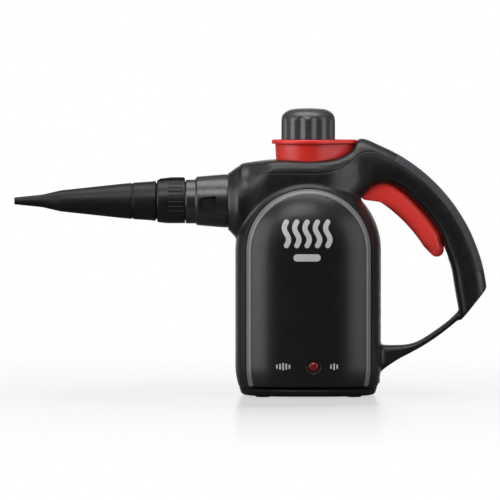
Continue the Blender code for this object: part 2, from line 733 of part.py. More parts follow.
def make_lamp(material):
    """The neon lamp in its holder, pressed against the back of the lens."""
    lens_back = -side_depth(0.0, LENS_Z) + PANEL_THICK + LENS_STEP + LENS_RIM_THICK
    start = lens_back + SEAT_GAP
    profile = [(3.5 * MM, start), (3.5 * MM, start + 9 * MM), (2.0 * MM, start + 12 * MM)]
    lamp = turned("indicator_lamp", profile, "Y", (LENS_X, LENS_Z), 10)
    finish(lamp, "indicator_lamp", material)


def plan_ring(z, inset=0.0, points=24):
    """The body's rounded plan at a height."""
    half_length = BODY_RADIUS - base_inset(z) - inset
    half_depth = BODY_DEPTH - base_inset(z) - inset
    ring = []
    for i in range(points):
        angle = 2 * math.pi * i / points
        x = math.copysign(abs(math.cos(angle)) ** (2 / BULGE_POWER), math.cos(angle))
        y = math.copysign(abs(math.sin(angle)) ** (2 / BULGE_POWER), math.sin(angle))
        ring.append((half_length * x, half_depth * y, z))
    return ring


def corners(x, y):
    return [(sx * x, sy * y) for sx in (-1, 1) for sy in (-1, 1)]


def make_base(material):
    """The base cover: a shallow tray with posts for the boiler bracket and recesses for the feet."""
    rings = [plan_ring(BASE_FLOOR_Z, 1.2 * MM), plan_ring(BASE_FLOOR_Z + 1.4 * MM)]
    rings.append(plan_ring(BASE_TOP_Z))
    tray = ring_solid("base_cover", rings)
    floor = BASE_FLOOR_Z + BASE_FLOOR
    inner = [plan_ring(floor, WALL + 3 * MM), plan_ring(BASE_TOP_Z + 2 * MM, WALL + 2.5 * MM)]
    inner[0] = [(x, y, floor) for x, y, _ in inner[0]]
    cut(tray, ring_solid("tray_hollow", inner))
    for x, y in corners(BOILER_POST_X, BOILER_POST_Y):
        top = BRACKET_Z - SEAT_GAP
        join(tray, rod("post", 4.0 * MM, floor - OVERLAP, top, "Z", (x, y), 8))
        cut(tray, rod("post_hole", SCREW_RADIUS + SEAT_GAP, top - 12 * MM, top + OVERLAP, "Z", (x, y), 6))
    for x, y in corners(FOOT_X, FOOT_Y):
        low = BASE_FLOOR_Z - OVERLAP
        top = BASE_FLOOR_Z + FOOT_RECESS
        cut(tray, rod("foot_recess", FOOT_RADIUS + SEAT_GAP, low, top, "Z", (x, y), 12))
    finish(tray, "base_cover", material)


def make_feet(material):
    top = BASE_FLOOR_Z + FOOT_RECESS - SEAT_GAP
    for i, (x, y) in enumerate(corners(FOOT_X, FOOT_Y), 1):
        profile = [(FOOT_RADIUS - 0.8 * MM, 0.0), (FOOT_RADIUS, 0.8 * MM), (FOOT_RADIUS, top)]
        foot = turned(f"rubber_foot_{i}", profile, "Z", (x, y), 12)
        finish(foot, f"rubber_foot_{i}", material)


def make_bracket(material):
    """A sheet ring on the base's posts that carries the boiler."""
    outline = [(x, y) for x, y, _ in plan_ring(BRACKET_Z, 24 * MM, 16)]
    plate = prism("boiler_bracket", outline, BRACKET_Z, BRACKET_Z + BRACKET_THICK, "Z")
    for x, y in corners(BOILER_POST_X, BOILER_POST_Y):
        ear = rod("ear", 5.0 * MM, BRACKET_Z, BRACKET_Z + BRACKET_THICK, "Z", (x, y), 6)
        join(plate, ear)
    centre_hole = rod("centre", 23.8 * MM, BRACKET_Z - OVERLAP, BRACKET_Z + 4 * MM, steps=16)
    cut(plate, centre_hole)
    for x, y in corners(BOILER_POST_X, BOILER_POST_Y):
        hole = SCREW_RADIUS + SEAT_GAP
        cut(plate, rod("hole", hole, BRACKET_Z - OVERLAP, BRACKET_Z + 4 * MM, "Z", (x, y), 6))
    finish(plate, "boiler_bracket", material)


def make_bracket_screws(material):
    top = BRACKET_Z + BRACKET_THICK
    for i, (x, y) in enumerate(corners(BOILER_POST_X, BOILER_POST_Y)[::3], 1):
        profile = [
            (SCREW_RADIUS, top - 10 * MM),
            (SCREW_RADIUS, top + SEAT_GAP),
            (SCREW_HEAD, top + SEAT_GAP),
            (SCREW_HEAD * 0.8, top + SEAT_GAP + SCREW_HEAD_THICK),
        ]
        screw = turned("screw", profile, "Z", (x, y), 8)
        finish(screw, f"bracket_screw_{i}", material)


def ring_holes(target, radius, low, high):
    for i in range(4):
        place = polar((0.0, 0.0), BOLT_CIRCLE, 45 + 90 * i)
        cut(target, rod("hole", radius, low, high, "Z", place, 6))


def make_boiler(metal, rubber, wool, bolt_metal):
    wall = BOILER_WALL
    radius = BOILER_RADIUS
    base = BOILER_BASE_Z
    lower = [
        (24 * MM, base),
        (radius - 4 * MM, base),
        (radius, base + 4 * MM),
        (radius, JOINT_Z - BOILER_FLANGE_THICK),
        (BOILER_FLANGE, JOINT_Z - BOILER_FLANGE_THICK),
        (BOILER_FLANGE, JOINT_Z),
        (radius - wall, JOINT_Z),
        (radius - wall, base + 5.5 * MM),
        (radius - wall - 3 * MM, base + 3.5 * MM),
        (2 * MM, base + 3.5 * MM),
    ]
    shell = turned("boiler_lower", lower, steps=20)
    for x, y in corners(20 * MM, 20 * MM):
        foot_top = base + OVERLAP
        foot = rod("foot", 4 * MM, BRACKET_Z + BRACKET_THICK + SEAT_GAP, foot_top, "Z", (x, y), 8)
        join(shell, foot)
    ring_holes(shell, BOLT_RADIUS + SEAT_GAP, JOINT_Z - 10 * MM, JOINT_Z + OVERLAP)
    finish(shell, "boiler_lower", metal)

    gasket_low = JOINT_Z + SEAT_GAP
    gasket_top = gasket_low + GASKET_THICK
    gasket = sleeve("boiler_gasket", radius - wall, BOILER_FLANGE, gasket_low, gasket_top, steps=20)
    ring_holes(gasket, BOLT_RADIUS + SEAT_GAP, gasket_low - OVERLAP, gasket_top + OVERLAP)
    finish(gasket, "boiler_gasket", rubber)

    seat = gasket_top + SEAT_GAP
    top = BOILER_TOP_Z
    upper = [
        (radius - wall, seat),
        (BOILER_FLANGE, seat),
        (BOILER_FLANGE, seat + BOILER_FLANGE_THICK),
        (radius, seat + BOILER_FLANGE_THICK),
        (radius, top - 5 * MM),
        (radius - 1.5 * MM, top - 1.5 * MM),
        (radius - 5 * MM, top),
        (NECK_RADIUS + SEAT_GAP, top),
        (NECK_RADIUS + SEAT_GAP, top - 4 * MM),
        (radius - 7 * MM, top - 4 * MM),
        (radius - wall, top - 8 * MM),
    ]
    dome = turned("boiler_upper", upper, steps=20, loop=True)
    ring_holes(dome, BOLT_RADIUS + SEAT_GAP, seat - OVERLAP, seat + 6 * MM)
    port = rod("valve_port", 4 * MM + SEAT_GAP, top - 8 * MM, top + OVERLAP, "Z", (VALVE_X, 0.0), 14)
    cut(dome, port)
    finish(dome, "boiler_upper", metal)

    nut_face = JOINT_Z - BOILER_FLANGE_THICK - SEAT_GAP
    head_face = seat + BOILER_FLANGE_THICK + SEAT_GAP
    for i in range(4):
        place = polar((0.0, 0.0), BOLT_CIRCLE, 45 + 90 * i)
        profile = [
            (BOLT_RADIUS, nut_face - 5 * MM),
            (BOLT_RADIUS, head_face),
            (2.9 * MM, head_face),
            (2.9 * MM, head_face + 2.4 * MM),
        ]
        bolt = turned("bolt", profile, "Z", place, 6)
        finish(bolt, f"boiler_bolt_{i + 1}", bolt_metal)

    jacket_low = BOILER_BASE_Z + 9 * MM
    jacket_high = JOINT_Z - BOILER_FLANGE_THICK - 6.0 * MM
    jacket = sleeve(
        "insulation_jacket", radius + SEAT_GAP, radius + 5.5 * MM, jacket_low, jacket_high, steps=20
    )
    finish(jacket, "insulation_jacket", wool)


def make_heater(steel, ceramic, copper):
    """The ring element under the boiler, its thermostat and cut-out, and their wiring."""
    radius = 19.5 * MM
    wire = 2.2 * MM
    level = BOILER_BASE_Z - SEAT_GAP - wire
    ring = [polar((0.0, 0.0), radius, 20 + 320 * i / 22) for i in range(23)]
    drop = 7.5 * MM
    points = [(*ring[0], level - drop)] + [(x, y, level) for x, y in ring] + [(*ring[-1], level - drop)]
    finish(tube("heater_element", points, wire, 6), "heater_element", steel)

    disc_top = BOILER_BASE_Z - SEAT_GAP
    for name, x in (("thermostat", -8.0 * MM), ("thermal_cutout", 8.0 * MM)):
        profile = [
            (7.4 * MM, disc_top),
            (7.4 * MM, disc_top - 2.4 * MM),
            (6.0 * MM, disc_top - 2.4 * MM),
            (6.0 * MM, disc_top - 7.0 * MM),
            (1.6 * MM, disc_top - 7.0 * MM),
            (1.6 * MM, disc_top - 9.0 * MM),
        ]
        finish(turned(name, profile, "Z", (x, 0.0), 12), name, ceramic)

    floor = BASE_FLOOR_Z + BASE_FLOOR + SEAT_GAP
    block_top = floor + 11 * MM
    terminals = block("terminal_block", (-17 * MM, -6 * MM, floor), (17 * MM, 6 * MM, block_top))
    for x in (-11 * MM, 0.0, 11 * MM):
        for y in (-3 * MM, 3 * MM):
            cut(terminals, rod("well", 1.7 * MM, block_top - 4 * MM, block_top + OVERLAP, "Z", (x, y), 8))
    finish(terminals, "terminal_block", ceramic)

    start = block_top - 3 * MM
    top = disc_top - 9.0 * MM - SEAT_GAP
    end_z = level - drop - SEAT_GAP
    routes = {
        "lead_live": [(-11 * MM, 3 * MM, start), (-11 * MM, 3 * MM, start + 7 * MM),
                      (-8 * MM, 0.0, top - 4 * MM), (-8 * MM, 0.0, top)],
        "lead_link": [(0.0, -3 * MM, start), (0.0, -3 * MM, start + 7 * MM),
                      (8 * MM, 0.0, top - 4 * MM), (8 * MM, 0.0, top)],
        "lead_neutral": [(11 * MM, 3 * MM, start), (11 * MM, 3 * MM, start + 5 * MM),
                         (*ring[0], end_z - 4 * MM), (*ring[0], end_z)],
    }
    for name, corners_of_lead in routes.items():
        lead = tube(name, rounded_path(corners_of_lead, 2.0 * MM, 3), 1.0 * MM, 4)
        finish(lead, name, copper)


def make_gland(rubber):
    """The bush for the mains cord in the rear wall, flush with it outside."""
    outside = BODY_RADIUS - base_inset(GLAND_Z)
    lowest = GLAND_Z - GLAND_RADIUS - GLAND_FLANGE
    face = BODY_RADIUS - base_inset(lowest) - WALL - 2 * SEAT_GAP
    profile = [
        (GLAND_BORE, outside),
        (GLAND_RADIUS, outside),
        (GLAND_RADIUS, face),
        (GLAND_RADIUS + GLAND_FLANGE, face),
        (GLAND_RADIUS + GLAND_FLANGE, face - 2 * MM),
        (GLAND_RADIUS - 1.0 * MM, face - 6 * MM),
        (GLAND_BORE, face - 6 * MM),
    ]
    finish(turned("cord_gland", profile, "X", (0.0, GLAND_Z), 14, loop=True), "cord_gland", rubber)


def make_grip(rubber):
    """The soft cover on the handle's back, a shell that lies in the handle's recess."""
    cover = handle_form("casing_grip_cover")
    combine(cover, grip_zone("zone", GRIP_INNER), "INTERSECT")
    cut(cover, handle_form("under", GRIP_THICK))
    finish(cover, "grip_cover", rubber)


def make_neck(brass):
    flange_low = BOILER_TOP_Z + SEAT_GAP
    profile = [
        (NECK_BORE, BOILER_TOP_Z - 4 * MM),
        (NECK_RADIUS, BOILER_TOP_Z - 4 * MM),
        (NECK_RADIUS, flange_low),
        (16.0 * MM, flange_low),
        (16.0 * MM, flange_low + 3 * MM),
        (NECK_RADIUS, flange_low + 3 * MM),
        (NECK_RADIUS, COLLAR_SEAT_Z + SEAT_GAP),
        (NECK_RADIUS + 2.5 * MM, COLLAR_SEAT_Z + SEAT_GAP),
        (NECK_RADIUS + 2.5 * MM, COLLAR_SEAT_Z + 2.5 * MM),
        (NECK_RADIUS, COLLAR_SEAT_Z + 2.5 * MM),
        (NECK_RADIUS, NECK_TOP_Z),
        (NECK_BORE, NECK_TOP_Z),
    ]
    neck = turned("filler_neck", profile, steps=THREAD_STEPS, loop=True)
    low = THREAD_LOW_Z - THREAD_LEAD / 2
    ridge = helix_ridge("neck_thread", NECK_BORE + 0.6 * MM, NECK_BORE - 1.25 * MM, low)
    join(neck, ridge)
    finish(neck, "filler_neck", brass)


def helix_ridge(name, base_radius, crest_radius, low):
    """A thread's ridge: a trapezoid swept along a right-handed helix of THREAD_LEAD."""
    base_half = 1.7 * MM
    crest_half = 0.8 * MM
    rings = []
    for i in range(int(THREAD_TURNS * THREAD_STEPS) + 1):
        angle = 2 * math.pi * i / THREAD_STEPS
        height = low + THREAD_LEAD * i / THREAD_STEPS
        ring = []
        for radius, rise in (
            (base_radius, -base_half),
            (crest_radius, -crest_half),
            (crest_radius, crest_half),
            (base_radius, base_half),
        ):
            ring.append((radius * math.cos(angle), radius * math.sin(angle), height + rise))
        rings.append(ring)
    return ring_solid(name, rings)


def make_cap(metal, dark, rubber, spring_metal):
    seal = sleeve(
        "cap_seal", PLUG_CORE + 2 * SEAT_GAP, NECK_RADIUS + 0.5 * MM,
        NECK_TOP_Z + SEAT_GAP, NECK_TOP_Z + SEAT_GAP + CAP_SEAL_THICK, steps=24
    )
    finish(seal, "cap_seal", rubber)

    flange_top = PLUG_FLANGE_Z + PLUG_FLANGE_THICK
    chamber_floor = PLUG_BOTTOM_Z + CHAMBER_FLOOR
    plug_profile = [
        (RELIEF_BORE, PLUG_BOTTOM_Z),
        (PLUG_CORE, PLUG_BOTTOM_Z),
        (PLUG_CORE, PLUG_FLANGE_Z),
        (PLUG_FLANGE_RADIUS, PLUG_FLANGE_Z),
        (PLUG_FLANGE_RADIUS, flange_top),
        (CAP_HUB_RADIUS, flange_top),
        (CAP_HUB_RADIUS, HUB_HEAD_Z),
        (HUB_HEAD, HUB_HEAD_Z),
        (HUB_HEAD - 0.6 * MM, HUB_TOP_Z),
        (CHAMBER_RADIUS, HUB_TOP_Z),
        (CHAMBER_RADIUS, chamber_floor),
        (RELIEF_BORE, chamber_floor),
    ]
    plug = turned("cap_plug", plug_profile, steps=THREAD_STEPS, loop=True)
    ridge = helix_ridge("plug_thread", PLUG_CORE - 0.6 * MM, PLUG_CORE + 1.2 * MM, THREAD_LOW_Z)
    join(plug, ridge)
    for i in range(6):
        place = polar((0.0, 0.0), DOG_CIRCLE, 60 * i)
        dog = rod("dog", DOG_RADIUS, flange_top - OVERLAP, flange_top + DOG_HEIGHT, "Z", place, 6)
        join(plug, dog)
    finish(plug, "cap_plug", metal)

    def flute(radius, angle):
        if radius < KNOB_RADIUS - 0.1 * MM:
            return radius
        return radius - 1.3 * MM * max(0.0, math.cos(FLUTES * angle)) ** 1.5

    skirt = FILLER_TOP_Z - 1.6 * MM
    outer = [
        (KNOB_RADIUS - 0.6 * MM, skirt),
        (KNOB_RADIUS, skirt + 2.5 * MM),
        (KNOB_RADIUS, KNOB_TOP_Z - 10.5 * MM),
        (KNOB_RADIUS - 2.2 * MM, KNOB_TOP_Z - 5.2 * MM),
        (KNOB_RADIUS - 6.8 * MM, KNOB_TOP_Z - 1.8 * MM),
        (5.0 * MM, KNOB_TOP_Z),
    ]
    knob = turned("cap_knob", outer, steps=4 * FLUTES, radius_at=flute)
    hollow = [
        (KNOB_BORE, skirt - OVERLAP),
        (KNOB_BORE, SHOULDER_Z - 1.0 * MM),
        (KNOB_BORE - 1.0 * MM, SHOULDER_Z),
    ]
    cut(knob, turned("knob_hollow", hollow, steps=20))
    hole_top = HUB_HEAD_Z - SEAT_GAP
    cut(knob, rod("hub_hole", CAP_HUB_RADIUS + 0.7 * MM, SHOULDER_Z - OVERLAP, hole_top + OVERLAP, steps=16))
    head_space = rod("head_space", HUB_HEAD + 1.0 * MM, hole_top, KNOB_TOP_Z - 2.4 * MM, steps=16)
    cut(knob, head_space)
    knob_dog = flange_top + KNOB_PRESS + SEAT_GAP
    ring_low = knob_dog + DOG_HEIGHT
    dog_ring = sleeve("dog_ring", 15.6 * MM, KNOB_BORE + 0.3 * MM, ring_low, ring_low + 2.4 * MM, steps=20)
    join(knob, dog_ring)
    for i in range(6):
        place = polar((0.0, 0.0), DOG_CIRCLE, 60 * i + 30)
        dog = rod("dog", DOG_RADIUS, knob_dog, ring_low + OVERLAP, "Z", place, 6)
        join(knob, dog)
    finish(knob, "cap_knob", dark)

    spring_low = flange_top + SEAT_GAP
    spring = coil("cap_spring", 12.6 * MM, 0.8 * MM, 4, spring_low, SHOULDER_Z - SEAT_GAP)
    finish(spring, "cap_spring", spring_metal)

    seat = chamber_floor + SEAT_GAP
    poppet_profile = [
        (2.4 * MM, seat),
        (3.6 * MM, seat + 1.2 * MM),
        (3.6 * MM, seat + 4 * MM),
        (1.4 * MM, seat + 4 * MM),
        (1.4 * MM, seat + 18 * MM),
    ]
    finish(turned("relief_poppet", poppet_profile, steps=10), "relief_poppet", metal)
    relief = coil(
        "relief_spring", 2.8 * MM, 0.45 * MM, 5, seat + 4 * MM + SEAT_GAP, SET_SCREW_Z - SEAT_GAP,
        per_turn=8
    )
    finish(relief, "relief_spring", spring_metal)
    set_screw = turned(
        "relief_screw",
        [
            (1.8 * MM, SET_SCREW_Z),
            (CHAMBER_RADIUS - SEAT_GAP, SET_SCREW_Z),
            (CHAMBER_RADIUS - SEAT_GAP, SET_SCREW_Z + 6 * MM),
            (1.8 * MM, SET_SCREW_Z + 6 * MM),
        ],
        steps=10,
        loop=True,
    )
    finish(set_screw, "relief_screw", metal)


def make_filler_collar(red):
    low = HOUSING_TOP_Z + SEAT_GAP
    flange_low = FILLER_TOP_Z - FLANGE_THICK
    barrel = prism("filler_collar", teardrop(-FLANGE_LIP), low, flange_low + OVERLAP, "Z")
    rim = prism("flange", teardrop(), flange_low, FILLER_TOP_Z, "Z")
    spigot = rod("spigot", NECK_RADIUS + 3.5 * MM, 188 * MM, low + OVERLAP, steps=18)
    join(barrel, rim, spigot)
    cut(barrel, rod("bore", FILLER_BORE, COLLAR_SEAT_Z, FILLER_TOP_Z + OVERLAP, steps=24))
    cut(barrel, rod("neck_hole", NECK_RADIUS + SEAT_GAP, 180 * MM, 210 * MM, steps=18))
    finish(barrel, "filler_collar", red)


def make_valve(brass, steel, rubber, spring_metal):
    centre = (VALVE_X, 0.0)
    base = BOILER_TOP_Z
    profile = [
        (1.5 * MM, base - 4 * MM),
        (4.0 * MM, base - 4 * MM),
        (4.0 * MM, base + SEAT_GAP),
        (VALVE_RADIUS, base + SEAT_GAP),
        (VALVE_RADIUS, VALVE_TOP_Z),
        (STEM_RADIUS + RUN_GAP, VALVE_TOP_Z),
        (STEM_RADIUS + RUN_GAP, VALVE_TOP_Z - 3.0 * MM),
        (4.6 * MM, VALVE_TOP_Z - 3.0 * MM),
        (4.6 * MM, VALVE_TOP_Z - 5.6 * MM),
        (STEM_RADIUS + RUN_GAP, VALVE_TOP_Z - 5.6 * MM),
        (STEM_RADIUS + RUN_GAP, base + 6 * MM),
        (1.5 * MM, base + 6 * MM),
    ]
    body = turned("valve_body", profile, "Z", centre, 12, loop=True)
    outlet = rod("outlet", 4.4 * MM, 5.5 * MM, 10.5 * MM, "Y", (VALVE_X, VALVE_OUTLET_Z), 10)
    join(body, outlet)
    bore = rod("outlet_bore", STEAM_TUBE_RADIUS + SEAT_GAP, 4.5 * MM, 12 * MM, "Y", (VALVE_X, VALVE_OUTLET_Z), 12)
    cut(body, bore)
    finish(body, "valve_body", brass)

    stem_profile = [
        (1.0 * MM, base + 12 * MM),
        (STEM_RADIUS, base + 13 * MM),
        (STEM_RADIUS, STEM_TOP_Z - 2.4 * MM),
        (5.0 * MM, STEM_TOP_Z - 2.4 * MM),
        (5.0 * MM, STEM_TOP_Z),
    ]
    stem = turned("valve_stem", stem_profile, "Z", centre, 12)
    finish(stem, "valve_stem", steel, (VALVE_X, 0.0, STEM_TOP_Z))

    ring = sleeve(
        "stem_seal", STEM_RADIUS + SEAT_GAP, 4.6 * MM - SEAT_GAP,
        VALVE_TOP_Z - 5.3 * MM, VALVE_TOP_Z - 3.3 * MM, centre=centre, steps=12
    )
    finish(ring, "stem_seal", rubber)

    spring = coil(
        "valve_spring", 4.0 * MM, 0.55 * MM, 4, VALVE_TOP_Z + SEAT_GAP, STEM_TOP_Z - 2.7 * MM, centre
    )
    finish(spring, "valve_spring", spring_metal)


def make_steam_path(brass, copper):
    """The tube from the valve's outlet past the filler neck to the spigot in the spout."""
    side = 20.0 * MM
    corners_of_path = [
        (VALVE_X, 5.2 * MM, VALVE_OUTLET_Z),
        (VALVE_X, side, VALVE_OUTLET_Z),
        (0.0, side, SPOUT_Z - 4 * MM),
        (-40 * MM, side * 0.5, SPOUT_Z),
        (-56 * MM, 0.0, SPOUT_Z),
        (SPIGOT_REAR_X - 6 * MM, 0.0, SPOUT_Z),
    ]
    path = tube("steam_tube", rounded_path(corners_of_path, 7.0 * MM), STEAM_TUBE_RADIUS, 6)
    finish(path, "steam_tube", copper)

    groove_front = SPIGOT_FRONT_X + 5 * MM
    groove = 2.6 * MM
    profile = [
        (STEAM_BORE, SPIGOT_FRONT_X),
        (SPIGOT_RADIUS - 1.5 * MM, SPIGOT_FRONT_X),
        (SPIGOT_RADIUS, SPIGOT_FRONT_X + 2 * MM),
        (SPIGOT_RADIUS, groove_front),
        (SPIGOT_RADIUS - 2 * MM, groove_front),
        (SPIGOT_RADIUS - 2 * MM, groove_front + groove),
        (SPIGOT_RADIUS, groove_front + groove),
        (SPIGOT_RADIUS, SPIGOT_REAR_X),
        (STEAM_TUBE_RADIUS + SEAT_GAP, SPIGOT_REAR_X),
        (STEAM_TUBE_RADIUS + SEAT_GAP, SPIGOT_REAR_X - 8 * MM),
        (STEAM_BORE, SPIGOT_REAR_X - 8 * MM),
    ]
    spigot = turned("steam_outlet", profile, "X", (0.0, SPOUT_Z), 16, loop=True)
    finish(spigot, "steam_outlet", brass)


def make_spout_collar(dark):
    """The collar on the housing's spout that holds the steam outlet and takes the nozzle."""
    front = COLLAR_FRONT_X
    profile = [
        (SPIGOT_RADIUS + SEAT_GAP, front),
        (18.4 * MM, front),
        (19.0 * MM, front + 0.8 * MM),
        (19.0 * MM, front + 8.4 * MM),
        (FLARE_RADIUS - 3.2 * MM, front + 9.6 * MM),
        (FLARE_RADIUS - 2.3 * MM, front + 20 * MM),
        (FLARE_RADIUS - 1.3 * MM, FLARE_X - 3.4 * MM),
        (FLARE_RADIUS - 1.3 * MM, FLARE_X - SEAT_GAP),
        (SPOUT_BORE - SEAT_GAP, FLARE_X - SEAT_GAP),
        (SPOUT_BORE - SEAT_GAP, FLARE_X + 6 * MM),
        (SPIGOT_RADIUS + SEAT_GAP, FLARE_X + 6 * MM),
    ]
    collar = turned("spout_collar", profile, "X", (0.0, SPOUT_Z), 24, loop=True)
    notch_low = SPOUT_Z + 16.4 * MM
    notch = block("notch", (front - OVERLAP, -7 * MM, notch_low), (front + 8.0 * MM, 7 * MM, 200 * MM))
    cut(collar, notch)
    finish(collar, "spout_collar", dark)


def make_nozzle(dark, rubber):
    outer = [
        (NOZZLE_BORE, NOZZLE_TIP_X),
        (2.9 * MM, NOZZLE_TIP_X),
        (3.8 * MM, -238.5 * MM),
        (5.1 * MM, -225.5 * MM),
        (5.7 * MM, -221.8 * MM),
        (8.3 * MM, -210.8 * MM),
        (9.0 * MM, -207.5 * MM),
        (10.7 * MM, -191.5 * MM),
        (14.35 * MM, -157.9 * MM),
        (16.4 * MM, LOCK_FRONT_X - 5.0 * MM),
        (16.9 * MM, LOCK_FRONT_X - 1.0 * MM),
        (NOZZLE_BARREL_RADIUS, LOCK_FRONT_X - 1.0 * MM),
        (NOZZLE_BARREL_RADIUS, NOZZLE_REAR_X),
        (SPIGOT_RADIUS + RUN_GAP, NOZZLE_REAR_X),
        (SPIGOT_RADIUS + RUN_GAP, SPIGOT_FRONT_X - 1.5 * MM),
        (5.0 * MM, SPIGOT_FRONT_X - 8 * MM),
        (NOZZLE_BORE, -205 * MM),
    ]
    cone = turned("nozzle_cone", outer, "X", (0.0, SPOUT_Z), 20, loop=True)
    finish(cone, "nozzle_cone", dark, (0.0, 0.0, SPOUT_Z))

    groove_front = SPIGOT_FRONT_X + 5 * MM + SEAT_GAP
    groove = 2.6 * MM - 2 * SEAT_GAP
    seal = sleeve(
        "nozzle_seal", SPIGOT_RADIUS - 2 * MM + SEAT_GAP, SPIGOT_RADIUS + 0.15 * MM,
        groove_front, groove_front + groove, "X", (0.0, SPOUT_Z), 16
    )
    finish(seal, "nozzle_seal", rubber)


def make_lock_ring(dark):
    front = LOCK_FRONT_X
    rear = COLLAR_FRONT_X - RUN_GAP
    inner = NOZZLE_BARREL_RADIUS + RUN_GAP
    profile = [
        (inner, front),
        (17.4 * MM, front),
        (18.0 * MM, front + 1.0 * MM),
        (LOCK_RADIUS, front + 8.5 * MM),
        (LOCK_RADIUS, rear),
        (inner, rear),
    ]
    ring = turned("lock_ring", profile, "X", (0.0, SPOUT_Z), 24, loop=True)
    tab = [
        (front + 1.0 * MM, SPOUT_Z + 17.0 * MM),
        (front + 2.0 * MM, SPOUT_Z + 18.7 * MM),
        (front + 12.0 * MM, SPOUT_Z + 19.9 * MM),
        (rear - 0.6 * MM, SPOUT_Z + 19.9 * MM),
        (rear - 0.2 * MM, SPOUT_Z + 19.2 * MM),
        (rear - 0.2 * MM, SPOUT_Z + 17.0 * MM),
    ]
    join(ring, prism("tab", tab, -6.0 * MM, 6.0 * MM))
    for i in range(3, 12):
        x, z = polar((0.0, SPOUT_Z), LOCK_RADIUS + 0.5 * MM, 90 + 24 * i)
        rib = rod("rib_groove", 1.0 * MM, front + 9.5 * MM, rear - 1.5 * MM, "X", (x, z), 5)
        cut(ring, rib)
    finish(ring, "lock_ring", dark, (0.0, 0.0, SPOUT_Z))


def make_trigger(red, steel):
    trigger = prism("trigger", trigger_outline(), -TRIGGER_HALF_WIDTH, TRIGGER_HALF_WIDTH)
    for side in (-1, 1):
        low, high = sorted((side * 4.5 * MM, side * 12 * MM))
        arm = [(10 * MM, 160 * MM), (42.5 * MM, 160 * MM), (45.5 * MM, 174 * MM), (45.5 * MM, 200 * MM),
               (10 * MM, 200 * MM)]
        cut(trigger, prism("arm_side", arm, low, high))
    cut(trigger, rod("pin_bore", PIN_RADIUS + 0.08 * MM, -12 * MM, 12 * MM, "Y", PIVOT, 16))
    finish(trigger, "trigger", red, (PIVOT[0], 0.0, PIVOT[1]))
    pin = rod("trigger_pin", PIN_RADIUS, -PIN_HALF_LENGTH, PIN_HALF_LENGTH, "Y", PIVOT, 16)
    finish(pin, "trigger_pin", steel, (PIVOT[0], 0.0, PIVOT[1]))


def main():
    plastic = make_material("black_plastic", (0.03, 0.03, 0.032), 0.5)
    gloss = make_material("gloss_plastic", (0.012, 0.012, 0.013), 0.12)
    dark = make_material("dark_plastic", (0.035, 0.035, 0.038), 0.42)
    red = make_material("red_plastic", (0.62, 0.035, 0.03), 0.35)
    soft = make_material("soft_grip", (0.07, 0.075, 0.085), 0.75)
    rubber = make_material("rubber", (0.02, 0.02, 0.02), 0.8)
    brass = make_material("brass", (0.72, 0.52, 0.22), 0.35, 1.0)
    copper = make_material("copper", (0.8, 0.42, 0.27), 0.35, 1.0)
    steel = make_material("steel", (0.6, 0.6, 0.6), 0.3, 1.0)
    aluminium = make_material("aluminium", (0.75, 0.75, 0.77), 0.45, 1.0)
    wool = make_material("glass_wool", (0.78, 0.76, 0.7), 0.95)
    lens_red = make_material("lens_red", (0.55, 0.02, 0.03), 0.15)
    ceramic = make_material("ceramic", (0.85, 0.84, 0.8), 0.6)

    casing = make_casing()
    for name, half in make_housing(casing).items():
        finish(half, name, plastic)
    bpy.data.objects.remove(casing, do_unlink=True)
    for label, centre, face in boss_places():
        make_screw("housing_screw_" + label, centre, face, steel)
    make_panel("side_panel_left", -1, gloss)
    make_panel("side_panel_right", 1, gloss)
    make_lens(lens_red)
    make_lamp(ceramic)
    make_base(dark)
    make_feet(rubber)
    make_gland(rubber)
    make_grip(soft)
    make_bracket(steel)
    make_bracket_screws(steel)
    make_boiler(aluminium, rubber, wool, steel)
    make_heater(steel, ceramic, copper)
    make_neck(brass)
    make_filler_collar(red)
    make_cap(brass, dark, rubber, steel)
    make_valve(brass, steel, rubber, steel)
    make_steam_path(brass, copper)
    make_spout_collar(dark)
    make_nozzle(dark, rubber)
    make_lock_ring(dark)
    make_trigger(red, steel)


clear_scene()
frame_origin = bpy.data.objects.new("frame_origin", None)
frame_origin.location = (ORIGIN_SHIFT_X, 0.0, 0.0)
bpy.context.collection.objects.link(frame_origin)
main()
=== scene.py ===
import functools
import json
import math

import bmesh
import bpy
from mathutils import Matrix, Vector
from mathutils.bvhtree import BVHTree


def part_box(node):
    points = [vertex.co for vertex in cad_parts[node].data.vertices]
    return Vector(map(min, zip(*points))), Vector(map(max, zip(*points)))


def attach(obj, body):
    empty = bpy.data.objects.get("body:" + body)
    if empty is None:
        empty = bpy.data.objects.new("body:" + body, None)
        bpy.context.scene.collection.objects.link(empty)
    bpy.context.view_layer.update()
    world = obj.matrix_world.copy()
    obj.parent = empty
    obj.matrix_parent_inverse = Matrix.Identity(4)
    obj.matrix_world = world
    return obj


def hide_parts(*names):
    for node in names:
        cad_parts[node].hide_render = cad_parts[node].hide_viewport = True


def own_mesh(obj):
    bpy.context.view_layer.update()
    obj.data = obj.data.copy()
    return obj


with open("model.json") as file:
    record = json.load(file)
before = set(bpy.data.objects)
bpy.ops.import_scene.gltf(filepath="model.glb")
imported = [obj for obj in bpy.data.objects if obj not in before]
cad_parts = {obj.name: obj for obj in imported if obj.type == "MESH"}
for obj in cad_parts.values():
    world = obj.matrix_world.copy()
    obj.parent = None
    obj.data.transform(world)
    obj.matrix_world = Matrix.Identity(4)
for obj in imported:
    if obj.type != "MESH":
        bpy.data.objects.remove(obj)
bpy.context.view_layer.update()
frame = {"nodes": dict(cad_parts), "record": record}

# The shapes are laid out as in the part, in millimetres: X = 0 on the filler's axis, Y = 0 on the
# parting plane, Z = 0 on the ground. vertex() turns them into metres, and piece() then carries each
# mesh by SHIFT to its place in the frame. Lamps, floor shading and camera are in metres.
MM = 0.001
NECK_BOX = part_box("filler_neck")
SHIFT = (NECK_BOX[0].x + NECK_BOX[1].x) / 2
